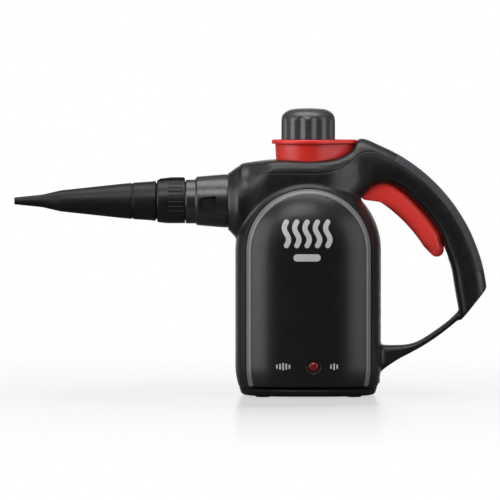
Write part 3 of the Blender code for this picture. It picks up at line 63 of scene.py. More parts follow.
ORIGIN = (0, 0)
SIDES = (-1, 1)  # left, right
SEAM = 0.3
OVERLAP = 1

BODY_RADIUS = 61.3
BODY_DEPTH = 54
HOUSING_HALF_WIDTH = 33.4
ARCH_Z = 122.2
BULGE_POWER = 2.8
BASE_ROUND = 6
BASE_ROUND_TOP = 26
HOUSING_BASE_Z = 6.9
BASE_FLOOR_Z = 1.2
WALL = 2.5
PANEL_SHARE = 0.856
PANEL_BASE_Z = 9.6
PANEL_THICK = 2.5
PANEL_DROP = 0.08  # how far the panel's face lies under the body's form
PRINT_RISE = 0.03
SYMBOL_X = -1.4
LEDGE_SHARE = 0.78
LEDGE_Y = 34
LEDGE_THICK = 3
RIM_SHARE = 0.776

SPOUT_Z = 163.4
FLARE_X = -67.2
FLARE_RADIUS = 23.7
SPOUT_BORE = 16
COLLAR_FRONT_X = -103
NOZZLE_TIP_X = -247
NOZZLE_REAR_X = -104
NOZZLE_REAR_RADIUS = 15
SPIGOT_RADIUS = 10
SPIGOT_FRONT_X = -124
LOCK_FRONT_X = -127
LOCK_RADIUS = 18.8
RUN_GAP = 0.45

HANDLE_CENTRE = (1.2, 72.3)
HANDLE_RADIUS = 150.1
HANDLE_END_ANGLE = 7
HANDLE_HALF_WIDTH = 16.2
GRIP_INNER = 143.5
GRIP_ANGLES = (13, 60.5)
GRIP_THICK = 1.8
HANDLE_SCREW = (64.7, 195.3)
PIVOT = (53.8, 181.5)
TRIGGER_HALF_WIDTH = 8.5
TRIGGER_REACH = 125.8
TRIGGER_TIP = (108, 122.5)
FINGER_CENTRE = (-9.7, 57.2)
FINGER_RADIUS = 126.6
GRIP_REACH = 124.1

NECK_RADIUS = 13
COLLAR_FOOT_RADIUS = 16.5
HOUSING_TOP_Z = 193.6
FILLER_BORE = 24
FILLER_TOP_Z = 215
FLANGE_RADIUS = 30.7
FLANGE_THICK = 3.5
FLANGE_LIP = 3
TAIL_X = 41
TAIL_RADIUS = 15
BARREL_TAPER = 1.1  # how much the barrel narrows downwards
BARREL_REACH = 43  # the end of the tail below the flange, before the lip comes off
KNOB_RADIUS = 23.2
KNOB_BORE = 19.6
KNOB_TOP_Z = 241.5
SHOULDER_Z = 230
DOG_RING_Z = (213.9, 216.3)
FLUTES = 10

LENS_X = 4
LENS_Z = 26.7
LENS_RADIUS = 4.2
GLAND_RADIUS = 5
GLAND_BORE = 3.3
GLAND_Z = 15
FOOT_X = 38
FOOT_Y = 26
FOOT_RADIUS = 6.5
POST_TOP_Z = 29.7


# Meshes

def vertex(bm, point):
    return bm.verts.new([value * MM for value in point])


def object_from(bm, name):
    bmesh.ops.recalc_face_normals(bm, faces=bm.faces)
    mesh = bpy.data.meshes.new(name)
    bm.to_mesh(mesh)
    bm.free()
    obj = bpy.data.objects.new(name, mesh)
    bpy.context.collection.objects.link(obj)
    return obj


def ring_solid(name, rings, loop=False, caps=2):
    """A skin over rings of points. It closes on itself, or has caps on its first and last ring."""
    bm = bmesh.new()
    rows = [[vertex(bm, point) for point in ring] for ring in rings]
    pairs = list(zip(rows, rows[1:]))
    if loop:
        pairs.append((rows[-1], rows[0]))
    else:
        for row in (rows[0], rows[-1])[:caps]:
            bm.faces.new(row)
    for first, second in pairs:
        for i in range(len(first)):
            j = (i + 1) % len(first)
            bm.faces.new((first[i], first[j], second[j], second[i]))
    return object_from(bm, name)


def polar(centre, radius, degrees):
    angle = math.radians(degrees)
    return (centre[0] + radius * math.cos(angle), centre[1] + radius * math.sin(angle))


def arc_points(centre, radius, start, end, steps):
    return [polar(centre, radius, start + (end - start) * i / steps) for i in range(steps + 1)]


def oval_point(angle, power):
    """A point of a unit circle that grows squarer with its power."""
    parts = (math.cos(angle), math.sin(angle))
    return [math.copysign(abs(part) ** (2 / power), part) for part in parts]


def fillet(points, radius, steps=3):
    """Rounds each corner of a closed profile; a corner between short lines gets a smaller round."""
    result = []
    for i, point in enumerate(points):
        corner = Vector(point)
        before = Vector(points[i - 1]) - corner
        after = Vector(points[(i + 1) % len(points)]) - corner
        reach = min(radius, before.length * 0.45, after.length * 0.45)
        if before.angle(after, math.pi) > math.radians(172) or reach < 0.02:
            result.append(point)
            continue
        start = corner + before.normalized() * reach
        end = corner + after.normalized() * reach
        for t in (k / steps for k in range(steps + 1)):
            result.append(tuple(start * (1 - t) ** 2 + corner * 2 * t * (1 - t) + end * t * t))
    return result


PLACE = {
    "X": lambda a, b, c: (c, a, b),
    "Y": lambda a, b, c: (a, c, b),
    "Z": lambda a, b, c: (a, b, c),
}


def turned(name, profile, axis="Z", centre=ORIGIN, steps=96, loop=False, radius_at=None, caps=2):
    """A profile of radii and heights, turned about an axis."""
    place = PLACE[axis]
    rings = []
    for radius, height in profile:
        ring = []
        for turn in (360 * i / steps for i in range(steps)):
            reach = radius_at(radius, height, turn) if radius_at else radius
            ring.append(place(*polar(centre, reach, turn), height))
        rings.append(ring)
    return ring_solid(name, rings, loop, caps)


def prism(name, outline, low, high, axis="Y"):
    place = PLACE[axis]
    return ring_solid(name, [[place(a, b, c) for a, b in outline] for c in (low, high)])


def side_prism(name, outline, side, near, far):
    """A prism between two distances from the parting plane, on one side of it."""
    return prism(name, outline, *sorted((side * near, side * far)))


def even_outline(outline, spacing, smooth):
    """Spaces an outline's points evenly, then rounds its corners by averaging neighbours."""
    points = [Vector(p) for p in outline]
    lengths = [(points[(i + 1) % len(points)] - p).length for i, p in enumerate(points)]
    count = int(sum(lengths) / spacing)
    step = sum(lengths) / count
    result = []
    index = 0
    passed = 0
    for k in range(count):
        target = k * step
        while passed + lengths[index] < target:
            passed += lengths[index]
            index += 1
        share = (target - passed) / lengths[index]
        result.append(points[index].lerp(points[(index + 1) % len(points)], share))
    for _ in range(smooth):
        result = [(result[i - 1] + 2 * result[i] + result[(i + 1) % count]) / 4 for i in range(count)]
    return [tuple(p) for p in result]


def inset_outline(outline, distance):
    """Moves an outline's points inwards along their normals."""
    area = sum(a[0] * b[1] - b[0] * a[1] for a, b in zip(outline, outline[1:] + outline[:1]))
    turn = 1 if area > 0 else -1
    result = []
    for i, point in enumerate(outline):
        along = (Vector(outline[(i + 1) % len(outline)]) - Vector(outline[i - 1])).normalized()
        result.append(tuple(Vector(point) + Vector((-along.y, along.x)) * turn * distance))
    return result


def soft_prism(name, outline, low, high, round_low, round_high, axis="Y"):
    """An extruded outline whose two end edges are rounded."""
    place = PLACE[axis]
    steps = 5
    rings = []
    for radius, base, sign in ((round_low, low, 1), (round_high, high, -1)):
        part = []
        for k in range(steps + 1):
            angle = math.pi / 2 * k / steps
            line = inset_outline(outline, radius * (1 - math.sin(angle)))
            level = base + sign * radius * (1 - math.cos(angle))
            part.append([place(a, b, level) for a, b in line])
        rings += part if sign > 0 else part[::-1]
    return ring_solid(name, rings)


def block(name, low, high):
    outline = [(low[0], low[1]), (high[0], low[1]), (high[0], high[1]), (low[0], high[1])]
    return prism(name, outline, low[2], high[2], "Z")


def rod(name, radius, low, high, axis="Z", centre=ORIGIN, steps=48):
    return turned(name, [(radius, low), (radius, high)], axis, centre, steps)


def apply_modifiers(obj):
    graph = bpy.context.evaluated_depsgraph_get()
    mesh = bpy.data.meshes.new_from_object(obj.evaluated_get(graph))
    obj.modifiers.clear()
    obj.data = mesh
    return obj


def combine(operation, target, *tools):
    for tool in tools:
        modifier = target.modifiers.new("combine", "BOOLEAN")
        modifier.operation = operation
        modifier.solver = "MANIFOLD"
        modifier.object = tool
        apply_modifiers(target)
        bpy.data.objects.remove(tool, do_unlink=True)
    return target


join = functools.partial(combine, "UNION")
cut = functools.partial(combine, "DIFFERENCE")
keep_inside = functools.partial(combine, "INTERSECT")


def node_box(node):
    """The corners of a CAD node's box, in the millimetres of this layout."""
    return [Vector((corner.x - SHIFT, corner.y, corner.z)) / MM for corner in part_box(node)]


def piece(obj, node, suffix, slot, smooth_angle=38, looks=None, body="body"):
    """Finishes a piece. One whose name has a suffix stands for the CAD node named before it."""
    mesh = obj.data
    obj.name = mesh.name = node + suffix
    mesh.transform(Matrix.Translation((SHIFT, 0, 0)))
    mesh.shade_smooth()
    mesh.set_sharp_from_angle(angle=math.radians(smooth_angle))
    indices = [polygon.material_index for polygon in mesh.polygons]
    mesh.materials.clear()
    for look in looks or [slot]:
        mesh.materials.append(MATERIALS[look])
    for polygon, index in zip(mesh.polygons, indices):
        polygon.material_index = index
    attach(obj, body)
    if suffix:
        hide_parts(node)


# Materials

MATERIALS = {}


def new_material(name):
    material = bpy.data.materials.new(name)
    material.use_nodes = True
    MATERIALS[name] = material
    return material.node_tree, material.node_tree.nodes["Principled BSDF"]


def plug(socket, value):
    """Gives a socket its value, or the output that feeds it."""
    if isinstance(value, bpy.types.NodeSocket):
        socket.id_data.links.new(value, socket)
    else:
        socket.default_value = value


def feed(node, **inputs):
    for key, value in inputs.items():
        plug(node.inputs[key.replace("_", " ")], value)
    return node


def add_node(tree, kind, **inputs):
    return feed(tree.nodes.new("ShaderNode" + kind), **inputs)


def maths(tree, operation, *values):
    node = add_node(tree, "Math")
    node.operation = operation
    for socket, value in zip(node.inputs, values):
        plug(socket, value)
    return node.outputs["Value"]


def grey(value):
    return (value, value, value, 1)


def shades(colour, *shares):
    return [(*(min(1, part * share) for part in colour), 1) for share in shares]


def ramp(tree, source, low, high, start=0.3, end=0.7):
    node = add_node(tree, "ValToRGB", Fac=source)
    ends = node.color_ramp.elements
    ends[0].position, ends[1].position = start, end
    ends[0].color, ends[1].color = low, high
    return node.outputs["Color"]


def object_place(tree):
    return add_node(tree, "TexCoord").outputs["Object"]


def noise(tree, scale, detail, roughness=0.5, place=None):
    if place is None:
        place = object_place(tree)
    node = add_node(tree, "TexNoise", Vector=place, Scale=scale, Detail=detail, Roughness=roughness)
    return node.outputs["Fac"]


def bump(tree, height, strength, distance):
    node = add_node(tree, "Bump", Strength=strength, Distance=distance, Height=height)
    return node.outputs["Normal"]


def plastic(name, colour, roughness, spread=0.08, grain=0.05, grain_scale=2600, vary=0.12,
            coat=0, mottle_scale=35, sheen=0, specular=0.5):
    """Moulded plastic: broad colour mottle, uneven gloss and a fine surface grain."""
    tree, shader = new_material(name)
    mottle = noise(tree, mottle_scale, 5, 0.6)
    smear = noise(tree, mottle_scale * 3.3, 6, 0.65)
    low, high = max(0.02, roughness - spread), min(1, roughness + spread)
    feed(shader, Base_Color=ramp(tree, mottle, *shades(colour, 1 - vary, 1 + vary)),
         Roughness=ramp(tree, smear, grey(low), grey(high)), Coat_Weight=coat, Coat_Roughness=0.06,
         Sheen_Weight=sheen, Specular_IOR_Level=specular)
    if grain:
        feed(shader, Normal=bump(tree, noise(tree, grain_scale, 2), grain, 0.0004))
    return tree, shader


def brushed(name, colour, roughness, axis_scale=(40, 40, 900), grain=0.12):
    """Metal with fine turning or drawing marks across one direction."""
    tree, shader = new_material(name)
    mapping = add_node(tree, "Mapping", Vector=object_place(tree), Scale=axis_scale)
    marks = noise(tree, 1, 6, 0.7, mapping.outputs["Vector"])
    low, high = max(0.05, roughness - 0.1), roughness + 0.12
    feed(shader, Base_Color=ramp(tree, marks, *shades(colour, 0.8, 1)), Metallic=1,
         Roughness=ramp(tree, marks, grey(low), grey(high)), Normal=bump(tree, marks, grain, 0.0003))


def grip_rubber(name, colour):
    """Soft-touch rubber with a regular field of tiny raised dots."""
    tree, shader = plastic(name, colour, 0.62, grain=0, vary=0.16, sheen=0.08)
    cells = add_node(tree, "TexVoronoi", Vector=object_place(tree), Scale=620, Randomness=0.15)
    dots = ramp(tree, cells.outputs["Distance"], grey(1), grey(0), 0.15, 0.55)
    feed(shader, Normal=bump(tree, dots, 0.5, 0.0003))


def lens_glass(name, colour):
    """Clear coloured plastic with a slight ripple, lit a little from inside."""
    tree, shader = new_material(name)
    ripple = noise(tree, 420, 2)
    feed(shader, Base_Color=ramp(tree, ripple, *shades(colour, 0.75, 1)), Roughness=0.12,
         Normal=bump(tree, ripple, 0.15, 0.0005), Transmission_Weight=0.35,
         Emission_Color=(*colour, 1), Emission_Strength=0.1)


# Each plastic has its colour, roughness and its spread, grain and its scale, and colour variation
plastic("black_plastic", (0.007, 0.007, 0.0075), 0.36, 0.06, 0.14, 2400, 0.15, specular=0.56)
plastic("gloss_plastic", (0.008, 0.008, 0.0085), 0.33, 0.03, 0, coat=0.03, specular=0.42)
plastic("dark_plastic", (0.008, 0.008, 0.0088), 0.36, 0.07, 0.1, 2000, 0.15, specular=0.34)
plastic("red_plastic", (0.7, 0.026, 0.02), 0.4, 0.06, 0.03, 1800, 0.06)
plastic("rubber", (0.022, 0.022, 0.022), 0.75, 0.08, 0.3, 1500, 0.2)
plastic("ceramic", (0.82, 0.81, 0.77), 0.55, 0.1, 0.1, 1200, 0.05)
plastic("glass_wool", (0.76, 0.73, 0.66), 0.95, 0.03, 0.9, 900, 0.25, sheen=0.4, mottle_scale=160)
# The knob's grey is lighter than the dark plastic it is made of: painted light that brightens the knob
plastic("cap_plastic_painted_light", (0.041, 0.041, 0.043), 0.29, 0.06, 0.1, 2000, 0.15, specular=0.68)
# The spout collar's black is a little lighter than the dark plastic: painted light that brightens its
# top highlight
plastic("collar_plastic_painted_light", (0.013, 0.013, 0.0138), 0.3, 0.05, 0.08, 2000, 0.15, specular=0.82)
plastic("nozzle_plastic", (0.008, 0.008, 0.0088), 0.4, 0.07, 0.1, 2000, 0.15, specular=0.27)
# The trigger's red is lighter than the collar's: painted light that lifts the trigger out of the shade
# of its slot
plastic("trigger_red_painted_light", (0.98, 0.055, 0.045), 0.36, 0.06, 0.03, 1800, 0.03, coat=0.4)
# The panel rim's light grey is a painted highlight along the raised rim
plastic("panel_rim_painted_highlight", (0.155, 0.155, 0.162), 0.34, 0.05, 0.05, 2000, 0.1, coat=0.2)
plastic("pale_print", (0.5, 0.5, 0.51), 0.5, 0.06, 0.1, 2600, 0.06)
grip_rubber("soft_grip", (0.026, 0.029, 0.034))
lens_glass("lens_red", (0.22, 0.012, 0.02))
brushed("brass", (0.72, 0.52, 0.22), 0.3)
brushed("copper", (0.78, 0.4, 0.26), 0.32)
brushed("steel", (0.6, 0.6, 0.61), 0.28)
brushed("spring_steel", (0.48, 0.48, 0.5), 0.3)
brushed("aluminium", (0.74, 0.74, 0.76), 0.45, (300, 300, 300), 0.3)

for entry in frame["record"]["subparts"]:
    cad = frame["nodes"][entry["node"]].data
    cad.materials.clear()
    cad.materials.append(MATERIALS[entry["material_slot"]])
    cad.shade_smooth()
    cad.set_sharp_from_angle(angle=math.radians(38))


# Body form

def base_inset(z):
    return BASE_ROUND * max(0, (BASE_ROUND_TOP - z) / BASE_ROUND_TOP) ** 2


def bulge(share):
    return max(0, 1 - share**BULGE_POWER) ** (1 / BULGE_POWER)


def side_depth(share, z, inset=0):
    return (BODY_DEPTH - inset - base_inset(z)) * bulge(share)


def arch_line(share, low_z, inset=0, clearance=0):
    """The body's arch, or a share of it, seen from the side; its foot draws in."""
    count = 12
    levels = [low_z + (BASE_ROUND_TOP - low_z) * i / count for i in range(count + 1)]
    sides = [(share * (BODY_RADIUS - inset - base_inset(z)) + clearance, z) for z in levels]
    sides += [(sides[-1][0], BASE_ROUND_TOP + (ARCH_Z - BASE_ROUND_TOP) * k / 8) for k in range(1, 8)]
    radius = share * (BODY_RADIUS - inset) + clearance
    arc = arc_points((0, ARCH_Z), radius, 180, 0, 56)
    return [(-x, z) for x, z in sides] + arc + sides[::-1]


def arch_solid(name, rings, low_z, inset, materials=None):
    """A solid of nested arches. Each ring has its share and a function from z to its y."""
    bm = bmesh.new()
    rows = []
    for share, depth in rings:
        rows.append([vertex(bm, (x, depth(z), z)) for x, z in arch_line(share, low_z, inset)])
    for k, (first, second) in enumerate(zip(rows, rows[1:])):
        for i in range(len(first) - 1):
            face = bm.faces.new((first[i], first[i + 1], second[i + 1], second[i]))
            if materials:
                face.material_index = materials[k]
    bmesh.ops.remove_doubles(bm, verts=bm.verts, dist=0.001 * MM)
    bmesh.ops.holes_fill(bm, edges=[edge for edge in bm.edges if edge.is_boundary], sides=0)
    return object_from(bm, name)


def body_form(name, low_z, inset=0, flat_y=None):
    """The body without handle and spout, its sides cut off flat beyond flat_y, where it is given."""
    shares = [0, 0.5, 0.7, 0.8, 0.86, 0.9, 0.93, 0.955, 0.975, 0.988, 0.996]
    if flat_y is not None:
        edge = bulge(flat_y / (BODY_DEPTH - inset))
        shares = [0, edge, (edge + 1) / 2, 0.985]

    def ring(share, side):
        limit = flat_y if flat_y and share == 0 else BODY_DEPTH
        return share, lambda z: side * min(limit, side_depth(share, z, inset))

    left, right = [[ring(share, side) for share in shares] for side in SIDES]
    return arch_solid(name, left + [(1, lambda z: 0)] + right[::-1], low_z, inset)


# Handle form

def section(outer, inner, half_width, power, points=56):
    """A ring round the line between two points of the side view."""
    middle = Vector(((outer[0] + inner[0]) / 2, 0, (outer[1] + inner[1]) / 2))
    reach = Vector((outer[0] - inner[0], 0, outer[1] - inner[1])) / 2
    ring = []
    for i in range(points):
        along, across = oval_point(2 * math.pi * (i + 0.5) / points, power)
        ring.append(middle + reach * along + Vector((0, half_width * across, 0)))
    return ring


def handle_stations():
    """Rows of an outer point, an inner point, half the width there and the section's squareness."""
    top = HOUSING_TOP_Z
    stations = [
        (-57, top + 1.2, -57, SPOUT_Z - 31.6, 30.2, 2.2),
        (-49, top + 2.5, -49, SPOUT_Z - 31.6, 30.8, 2.4),
        (-38, top + 3.9, -38, 136, 32.6, 4),
        (-28, top + 4.6, -28, 140, HOUSING_HALF_WIDTH, 7),
        (0, top + 4.9, 0, 142, HOUSING_HALF_WIDTH, 7),
        (16, top + 5.5, 14, 144, HOUSING_HALF_WIDTH - 0.6, 6),
        (27, top + 8, 24, 150, 29.5, 4.6),
        (36, top + 13.4, 33, 156, 25, 3.1),
        (41, top + 20.9, 40.2, 161.8, 21.6, 2.7),
        (45.5, top + 22.3, 45.6, 166.2, 20.3, 2.6),
        (51, top + 20.8, 50.6, 171, 19.4, 2.6),
    ]
    width = HANDLE_HALF_WIDTH
    grip = [
        (68, (54, 174.5), 18.6),
        (61, (64, 177.3), 17.4),
        (53, polar(HANDLE_CENTRE, TRIGGER_REACH, 52.5), 16.6),
        *((angle, polar(HANDLE_CENTRE, TRIGGER_REACH, angle), width) for angle in (45, 37, 29.5)),
        (24, polar(HANDLE_CENTRE, GRIP_REACH, 24), width),
        (17, polar(HANDLE_CENTRE, GRIP_REACH, 16.5), width),
        (11.5, (123.4, 89), width),
        (HANDLE_END_ANGLE, (128.2, 62.8), width - 0.5),
    ]
    for angle, inner, half_width in grip:
        outer = polar(HANDLE_CENTRE, HANDLE_RADIUS, angle)
        stations.append((*outer, *inner, half_width, 2.7 if angle > 50 else 3.2))
    return stations


def interpolate(rows, steps):
    """A smooth curve through rows of numbers, spaced by the distance between their points."""
    knots = [0]
    for before, after in zip(rows, rows[1:]):
        knots.append(knots[-1] + math.dist(before[:2], after[:2]) + math.dist(before[2:4], after[2:4]))
    slopes = []
    for i in range(len(rows)):
        low, high = max(0, i - 1), min(len(rows) - 1, i + 1)
        slopes.append([(b - a) / (knots[high] - knots[low]) for a, b in zip(rows[low], rows[high])])
    result = []
    for i in range(len(rows) - 1):
        span = knots[i + 1] - knots[i]
        for t in (k / steps for k in range(steps)):
            end = 3 * t**2 - 2 * t**3
            shares = (1 - end, (t**3 - 2 * t**2 + t) * span, end, (t**3 - t**2) * span)
            columns = zip(rows[i], slopes[i], rows[i + 1], slopes[i + 1])
            result.append([sum(a * b for a, b in zip(shares, column)) for column in columns])
    return result + [list(rows[-1])]


def handle_form(name, inset=0, points=56, steps=5):
    """The housing's upper part and the handle in one sweep."""
    stations = interpolate(handle_stations(), steps)
    if inset:
        stations = stations[: -max(1, steps // 3)]
        stations[0][0] += inset
        stations[0][2] += inset
    rings = []
    for ox, oz, ix, iz, half_width, power in stations:
        outer, inner = Vector((ox, oz)), Vector((ix, iz))
        step = (outer - inner).normalized() * inset
        rings.append(section(outer - step, inner + step, half_width - inset, power, points))
    return ring_solid(name, rings)


def flare_form(name):
    """The housing's swelling behind the spout collar; its rings sink a little as they grow."""
    rows = [
        (0, -3, 0.6), (0, 0, 0.6), (2.4, 2.7, 1), (4.6, 5.2, 1.4), (6.5, 7.4, 1.6),
        (7.3, 11, 1.6), (6.7, 17, 1.6),
    ]
    rings = []
    for swell, x, drop in interpolate(rows, 4):
        centre = (0, SPOUT_Z - drop)
        ring = [polar(centre, FLARE_RADIUS + swell, 360 * i / 96) for i in range(96)]
        rings.append([(FLARE_X + x, y, z) for y, z in ring])
    return ring_solid(name, rings)


def strut_form(name):
    """The brace from the body's foot to the handle's end."""
    rows = [
        (54, 42.5, 54, 14, 13), (64.5, 42.3, 64.5, 22.6, 10.5), (74.8, 42.2, 75.5, 30, 9),
        (84.5, 43, 86.5, 35.8, 8), (93.5, 46, 96.3, 41.3, 8), (106.5, 54.2, 109.5, 50, 8),
        (118.5, 63.2, 122.4, 60.2, 9), (129, 73.6, 134.5, 70.6, 10.5),
    ]
    return ring_solid(name, [section(r[:2], r[2:4], r[4], 3.4, 40) for r in interpolate(rows, 6)])


def grip_zone(name, radius, grow=0):
    """The room behind the handle that the grip cover takes."""
    start, end = GRIP_ANGLES[0] - grow, GRIP_ANGLES[1] + grow
    outline = arc_points(HANDLE_CENTRE, radius, start, end, 48)
    outline += arc_points(HANDLE_CENTRE, HANDLE_RADIUS + 15, end, start, 48)
    return prism(name, outline, -40, 40)


def teardrop(grow=0, reach=TAIL_X):
    """The filler collar's plan: a round with a narrower tail towards the handle."""
    radius = FLANGE_RADIUS + grow
    tail_centre = reach - TAIL_RADIUS
    lean = math.degrees(math.acos((FLANGE_RADIUS - TAIL_RADIUS) / tail_centre))
    outline = arc_points(ORIGIN, radius, lean, 360 - lean, 90)
    return outline + arc_points((tail_centre, 0), TAIL_RADIUS + grow, -lean, lean, 30)


def slot_outline():
    """The trigger's slot in the handle, seen from the side."""
    outline = [(41.8, 168), (46.5, 163.4), (62, 156)]
    outline += [(95, 105), polar(HANDLE_CENTRE, 118, 20.5)]
    outline += arc_points(HANDLE_CENTRE, 133.5, 20.5, 56, 28)
    outline += [(64, 188.5), (47, 188), (41.8, 180)]
    return outline


# Housing

def surface_tree(obj):
    return BVHTree.FromObject(obj, bpy.context.evaluated_depsgraph_get())


def surface_points(tree, side, lift, places):
    """The points of a surface straight to the side of some places, raised by lift."""
    points = []
    for x, z in places:
        hit = tree.ray_cast(Vector((x, side * 90, z)) * MM, Vector((0, -side, 0)))[0]
        if hit is not None:
            points.append(Vector((x, hit.y / MM + side * lift, z)))
    return points


def wire_ring(middle, across, upward, radius, sides):
    circle = arc_points(ORIGIN, radius, 0, 360, sides)[:-1]
    return [middle + across * a + upward * b for a, b in circle]


def swept_tube(name, points, radius, sides=10):
    rings = []
    for i, point in enumerate(points):
        ahead = points[min(i + 1, len(points) - 1)] - points[max(i - 1, 0)]
        across = ahead.cross(Vector((0, 1, 0))).normalized()
        upward = across.cross(ahead).normalized()
        rings.append(wire_ring(point, across, upward, radius, sides))
    return ring_solid(name, rings)


CREASE = [
    (-44, 186.2), (-38, 187.1), (-30, 187.4), (-18, 187.4), (-6, 187.2), (4, 187.2),
    (12, 187.6), (20, 188.8), (27, 191.2), (33, 194.8), (38, 199.2), (43, 203.2),
    (49, 205.2), (56, 205.2),
]


def crease_tool(tree, side):
    return swept_tube("crease", surface_points(tree, side, 0.35, interpolate(CREASE, 6)), 1)


def window_tool(side):
    """The panel's window, with a chamfer along its edge in the housing."""
    rest = PANEL_BASE_Z - SEAM
    chamfer = 1.5
    rings = []
    for depth, grow in ((LEDGE_Y, SEAM), (36.4, SEAM), (38.6, chamfer), (70, chamfer)):
        line = arch_line(PANEL_SHARE, rest, 0, grow)
        rings.append([(x, side * depth, z - (grow - SEAM if z == rest else 0)) for x, z in line])
    return ring_solid("window", rings)


def make_casing():
    """Both halves of the housing in one. Its outside is remeshed, which blends the forms."""
    casing = body_form("casing", HOUSING_BASE_Z)
    join(casing, handle_form("handle"), flare_form("flare"), strut_form("strut"))
    remesh = casing.modifiers.new("remesh", "REMESH")
    remesh.mode = "VOXEL"
    remesh.voxel_size = 1.25 * MM
    smooth = casing.modifiers.new("smooth", "SMOOTH")
    smooth.factor = 0.5
    smooth.iterations = 7
    apply_modifiers(casing)
    cut(casing, block("flat_base", (-80, -80, -10), (80, 80, HOUSING_BASE_Z)))
    cut(casing, block("flat_front", (-120, -80, 60), (FLARE_X, 80, 260)))
    tree = surface_tree(casing)
    creases = [crease_tool(tree, side) for side in SIDES]

    hollow = body_form("hollow", HOUSING_BASE_Z - 5, WALL, LEDGE_Y - LEDGE_THICK)
    join(hollow, handle_form("handle_hollow", WALL, 24, 2))
    above = 250
    tail_z = FILLER_TOP_Z - FLANGE_THICK
    pocket = teardrop(WALL + SEAM - FLANGE_LIP, BARREL_REACH)
    step = GRIP_THICK + SEAM
    grip_wall = grip_zone("grip_wall", GRIP_INNER - WALL, 1)
    cut(
        hollow,
        prism("pocket_wall", pocket, HOUSING_TOP_Z - WALL, above, "Z"),
        prism("tail_wall", teardrop(WALL), tail_z - WALL, above, "Z"),
        cut(grip_wall, handle_form("inner", step + WALL, 24, 2)),
    )
    grip_space = grip_zone("grip_space", GRIP_INNER - SEAM, 0.12)
    cut(casing, cut(grip_space, handle_form("inner", step)), hollow, *creases)
    slot = TRIGGER_HALF_WIDTH + 0.7
    cut(
        casing,
        prism("pocket", teardrop(SEAM - FLANGE_LIP, BARREL_REACH), HOUSING_TOP_Z, above, "Z"),
        prism("tail", teardrop(SEAM), tail_z - SEAM, above, "Z"),
        rod("neck_hole", COLLAR_FOOT_RADIUS + SEAM, 180, 200),
        rod("gland_hole", GLAND_RADIUS + SEAM, 50, 70, "X", (0, GLAND_Z)),
        rod("spout_hole", SPOUT_BORE, FLARE_X - OVERLAP, -50, "X", (0, SPOUT_Z), 96),
        prism("trigger_slot", slot_outline(), -slot, slot),
    )
    for side in SIDES:
        opening = side_prism("opening", arch_line(LEDGE_SHARE, 14), side, 20, 70)
        cut(casing, window_tool(side), opening)
    return cut(casing, rod("screw_recess", 4.6, 13.5, 40, "Y", HANDLE_SCREW))


def make_housing():
    casing = make_casing()
    for name, side in (("housing_left", -1), ("housing_right", 1)):
        half = bpy.data.objects.new(name, casing.data.copy())
        bpy.context.collection.objects.link(half)
        near, far = sorted((side * SEAM / 2, side * 90))
        keep_inside(half, block("half", (-90, near, -20), (170, far, 240)))
        piece(half, name, "_shell", "black_plastic", 32)
    bpy.data.objects.remove(casing, do_unlink=True)


def make_grip():
    cover = handle_form("cover")
    keep_inside(cover, grip_zone("zone", GRIP_INNER))
    cut(cover, handle_form("under", GRIP_THICK))
    bevel = cover.modifiers.new("bevel", "BEVEL")
    bevel.width = 0.5 * MM
    bevel.segments = 2
    bevel.limit_method = "ANGLE"
    bevel.angle_limit = math.radians(50)
    apply_modifiers(cover)
    tree = surface_tree(cover)
    ribs = []
    for side in SIDES:
        for i in range(9):
            angle = 47 - 2.4 * i
            path = [polar(HANDLE_CENTRE, 145 + 0.5 * k, angle + 0.12 * k) for k in range(7)]
            points = surface_points(tree, side, -0.12, path)
            if len(points) > 3:
                ribs.append(swept_tube("rib", points, 0.45, 8))
    join(cover, *ribs)
    piece(cover, "grip_cover", "_soft", "soft_grip", 45)


# Panels, lens and marks

def make_panel(name, side):
    """A glossy arched cover with a raised rim whose light grey is a painted highlight, a groove inside
    the rim and a round edge.
    """
    plain, rim = 0, 1
    profile = [(RIM_SHARE * math.sin(math.pi / 2 * i / 21), 0) for i in range(22)]
    kinds = [plain] * len(profile)
    profile += [
        (0.780, 0.25), (0.783, 0.25), (0.787, -0.1), (0.795, -0.4), (0.806, -0.55), (0.818, -0.5),
        (0.829, -0.25), (0.839, 0.2), (0.847, 0.9), (0.853, 1.8), (PANEL_SHARE, 2.8),
    ]
    rings = []
    for share, sunk in profile:
        rings.append((share, lambda z, s=share, d=sunk: side * (side_depth(s, z) - PANEL_DROP - d)))
    inner_edge = PANEL_SHARE - PANEL_THICK / BODY_RADIUS
    rings += [(share, lambda z: side * (LEDGE_Y + SEAM)) for share in (PANEL_SHARE, inner_edge)]
    # the rim's faces take the light grey of the painted highlight
    kinds += [rim] * (len(rings) - 1 - len(kinds))
    for share in (0.78, 0.7, 0.56, 0.3, 0):
        rings.append((share, lambda z, s=share: side * (side_depth(s, z) - PANEL_THICK)))
    kinds += [plain] * (len(rings) - len(kinds))
    panel = arch_solid(name, rings, PANEL_BASE_Z, 0, kinds)
    if side < 0:
        place = (LENS_X, LENS_Z)
        cut(panel, rod("lens_hole", LENS_RADIUS + SEAM, -60, -40, "Y", place))
        cut(panel, turned("lens_sink", [(8.4, -56), (5.6, -53.2)], "Y", place, 64))
    piece(panel, name, "_cover", "gloss_plastic", 35, ["gloss_plastic", "panel_rim_painted_highlight"])


def panel_y(x, z):
    """The left panel's outer face at a point of its side view."""
    share = abs(x) / BODY_RADIUS
    if z > ARCH_Z:
        share = math.hypot(x, z - ARCH_Z) / BODY_RADIUS
    elif z < BASE_ROUND_TOP:
        share = abs(x) / (BODY_RADIUS - base_inset(z))
    return PANEL_DROP - side_depth(share, z)


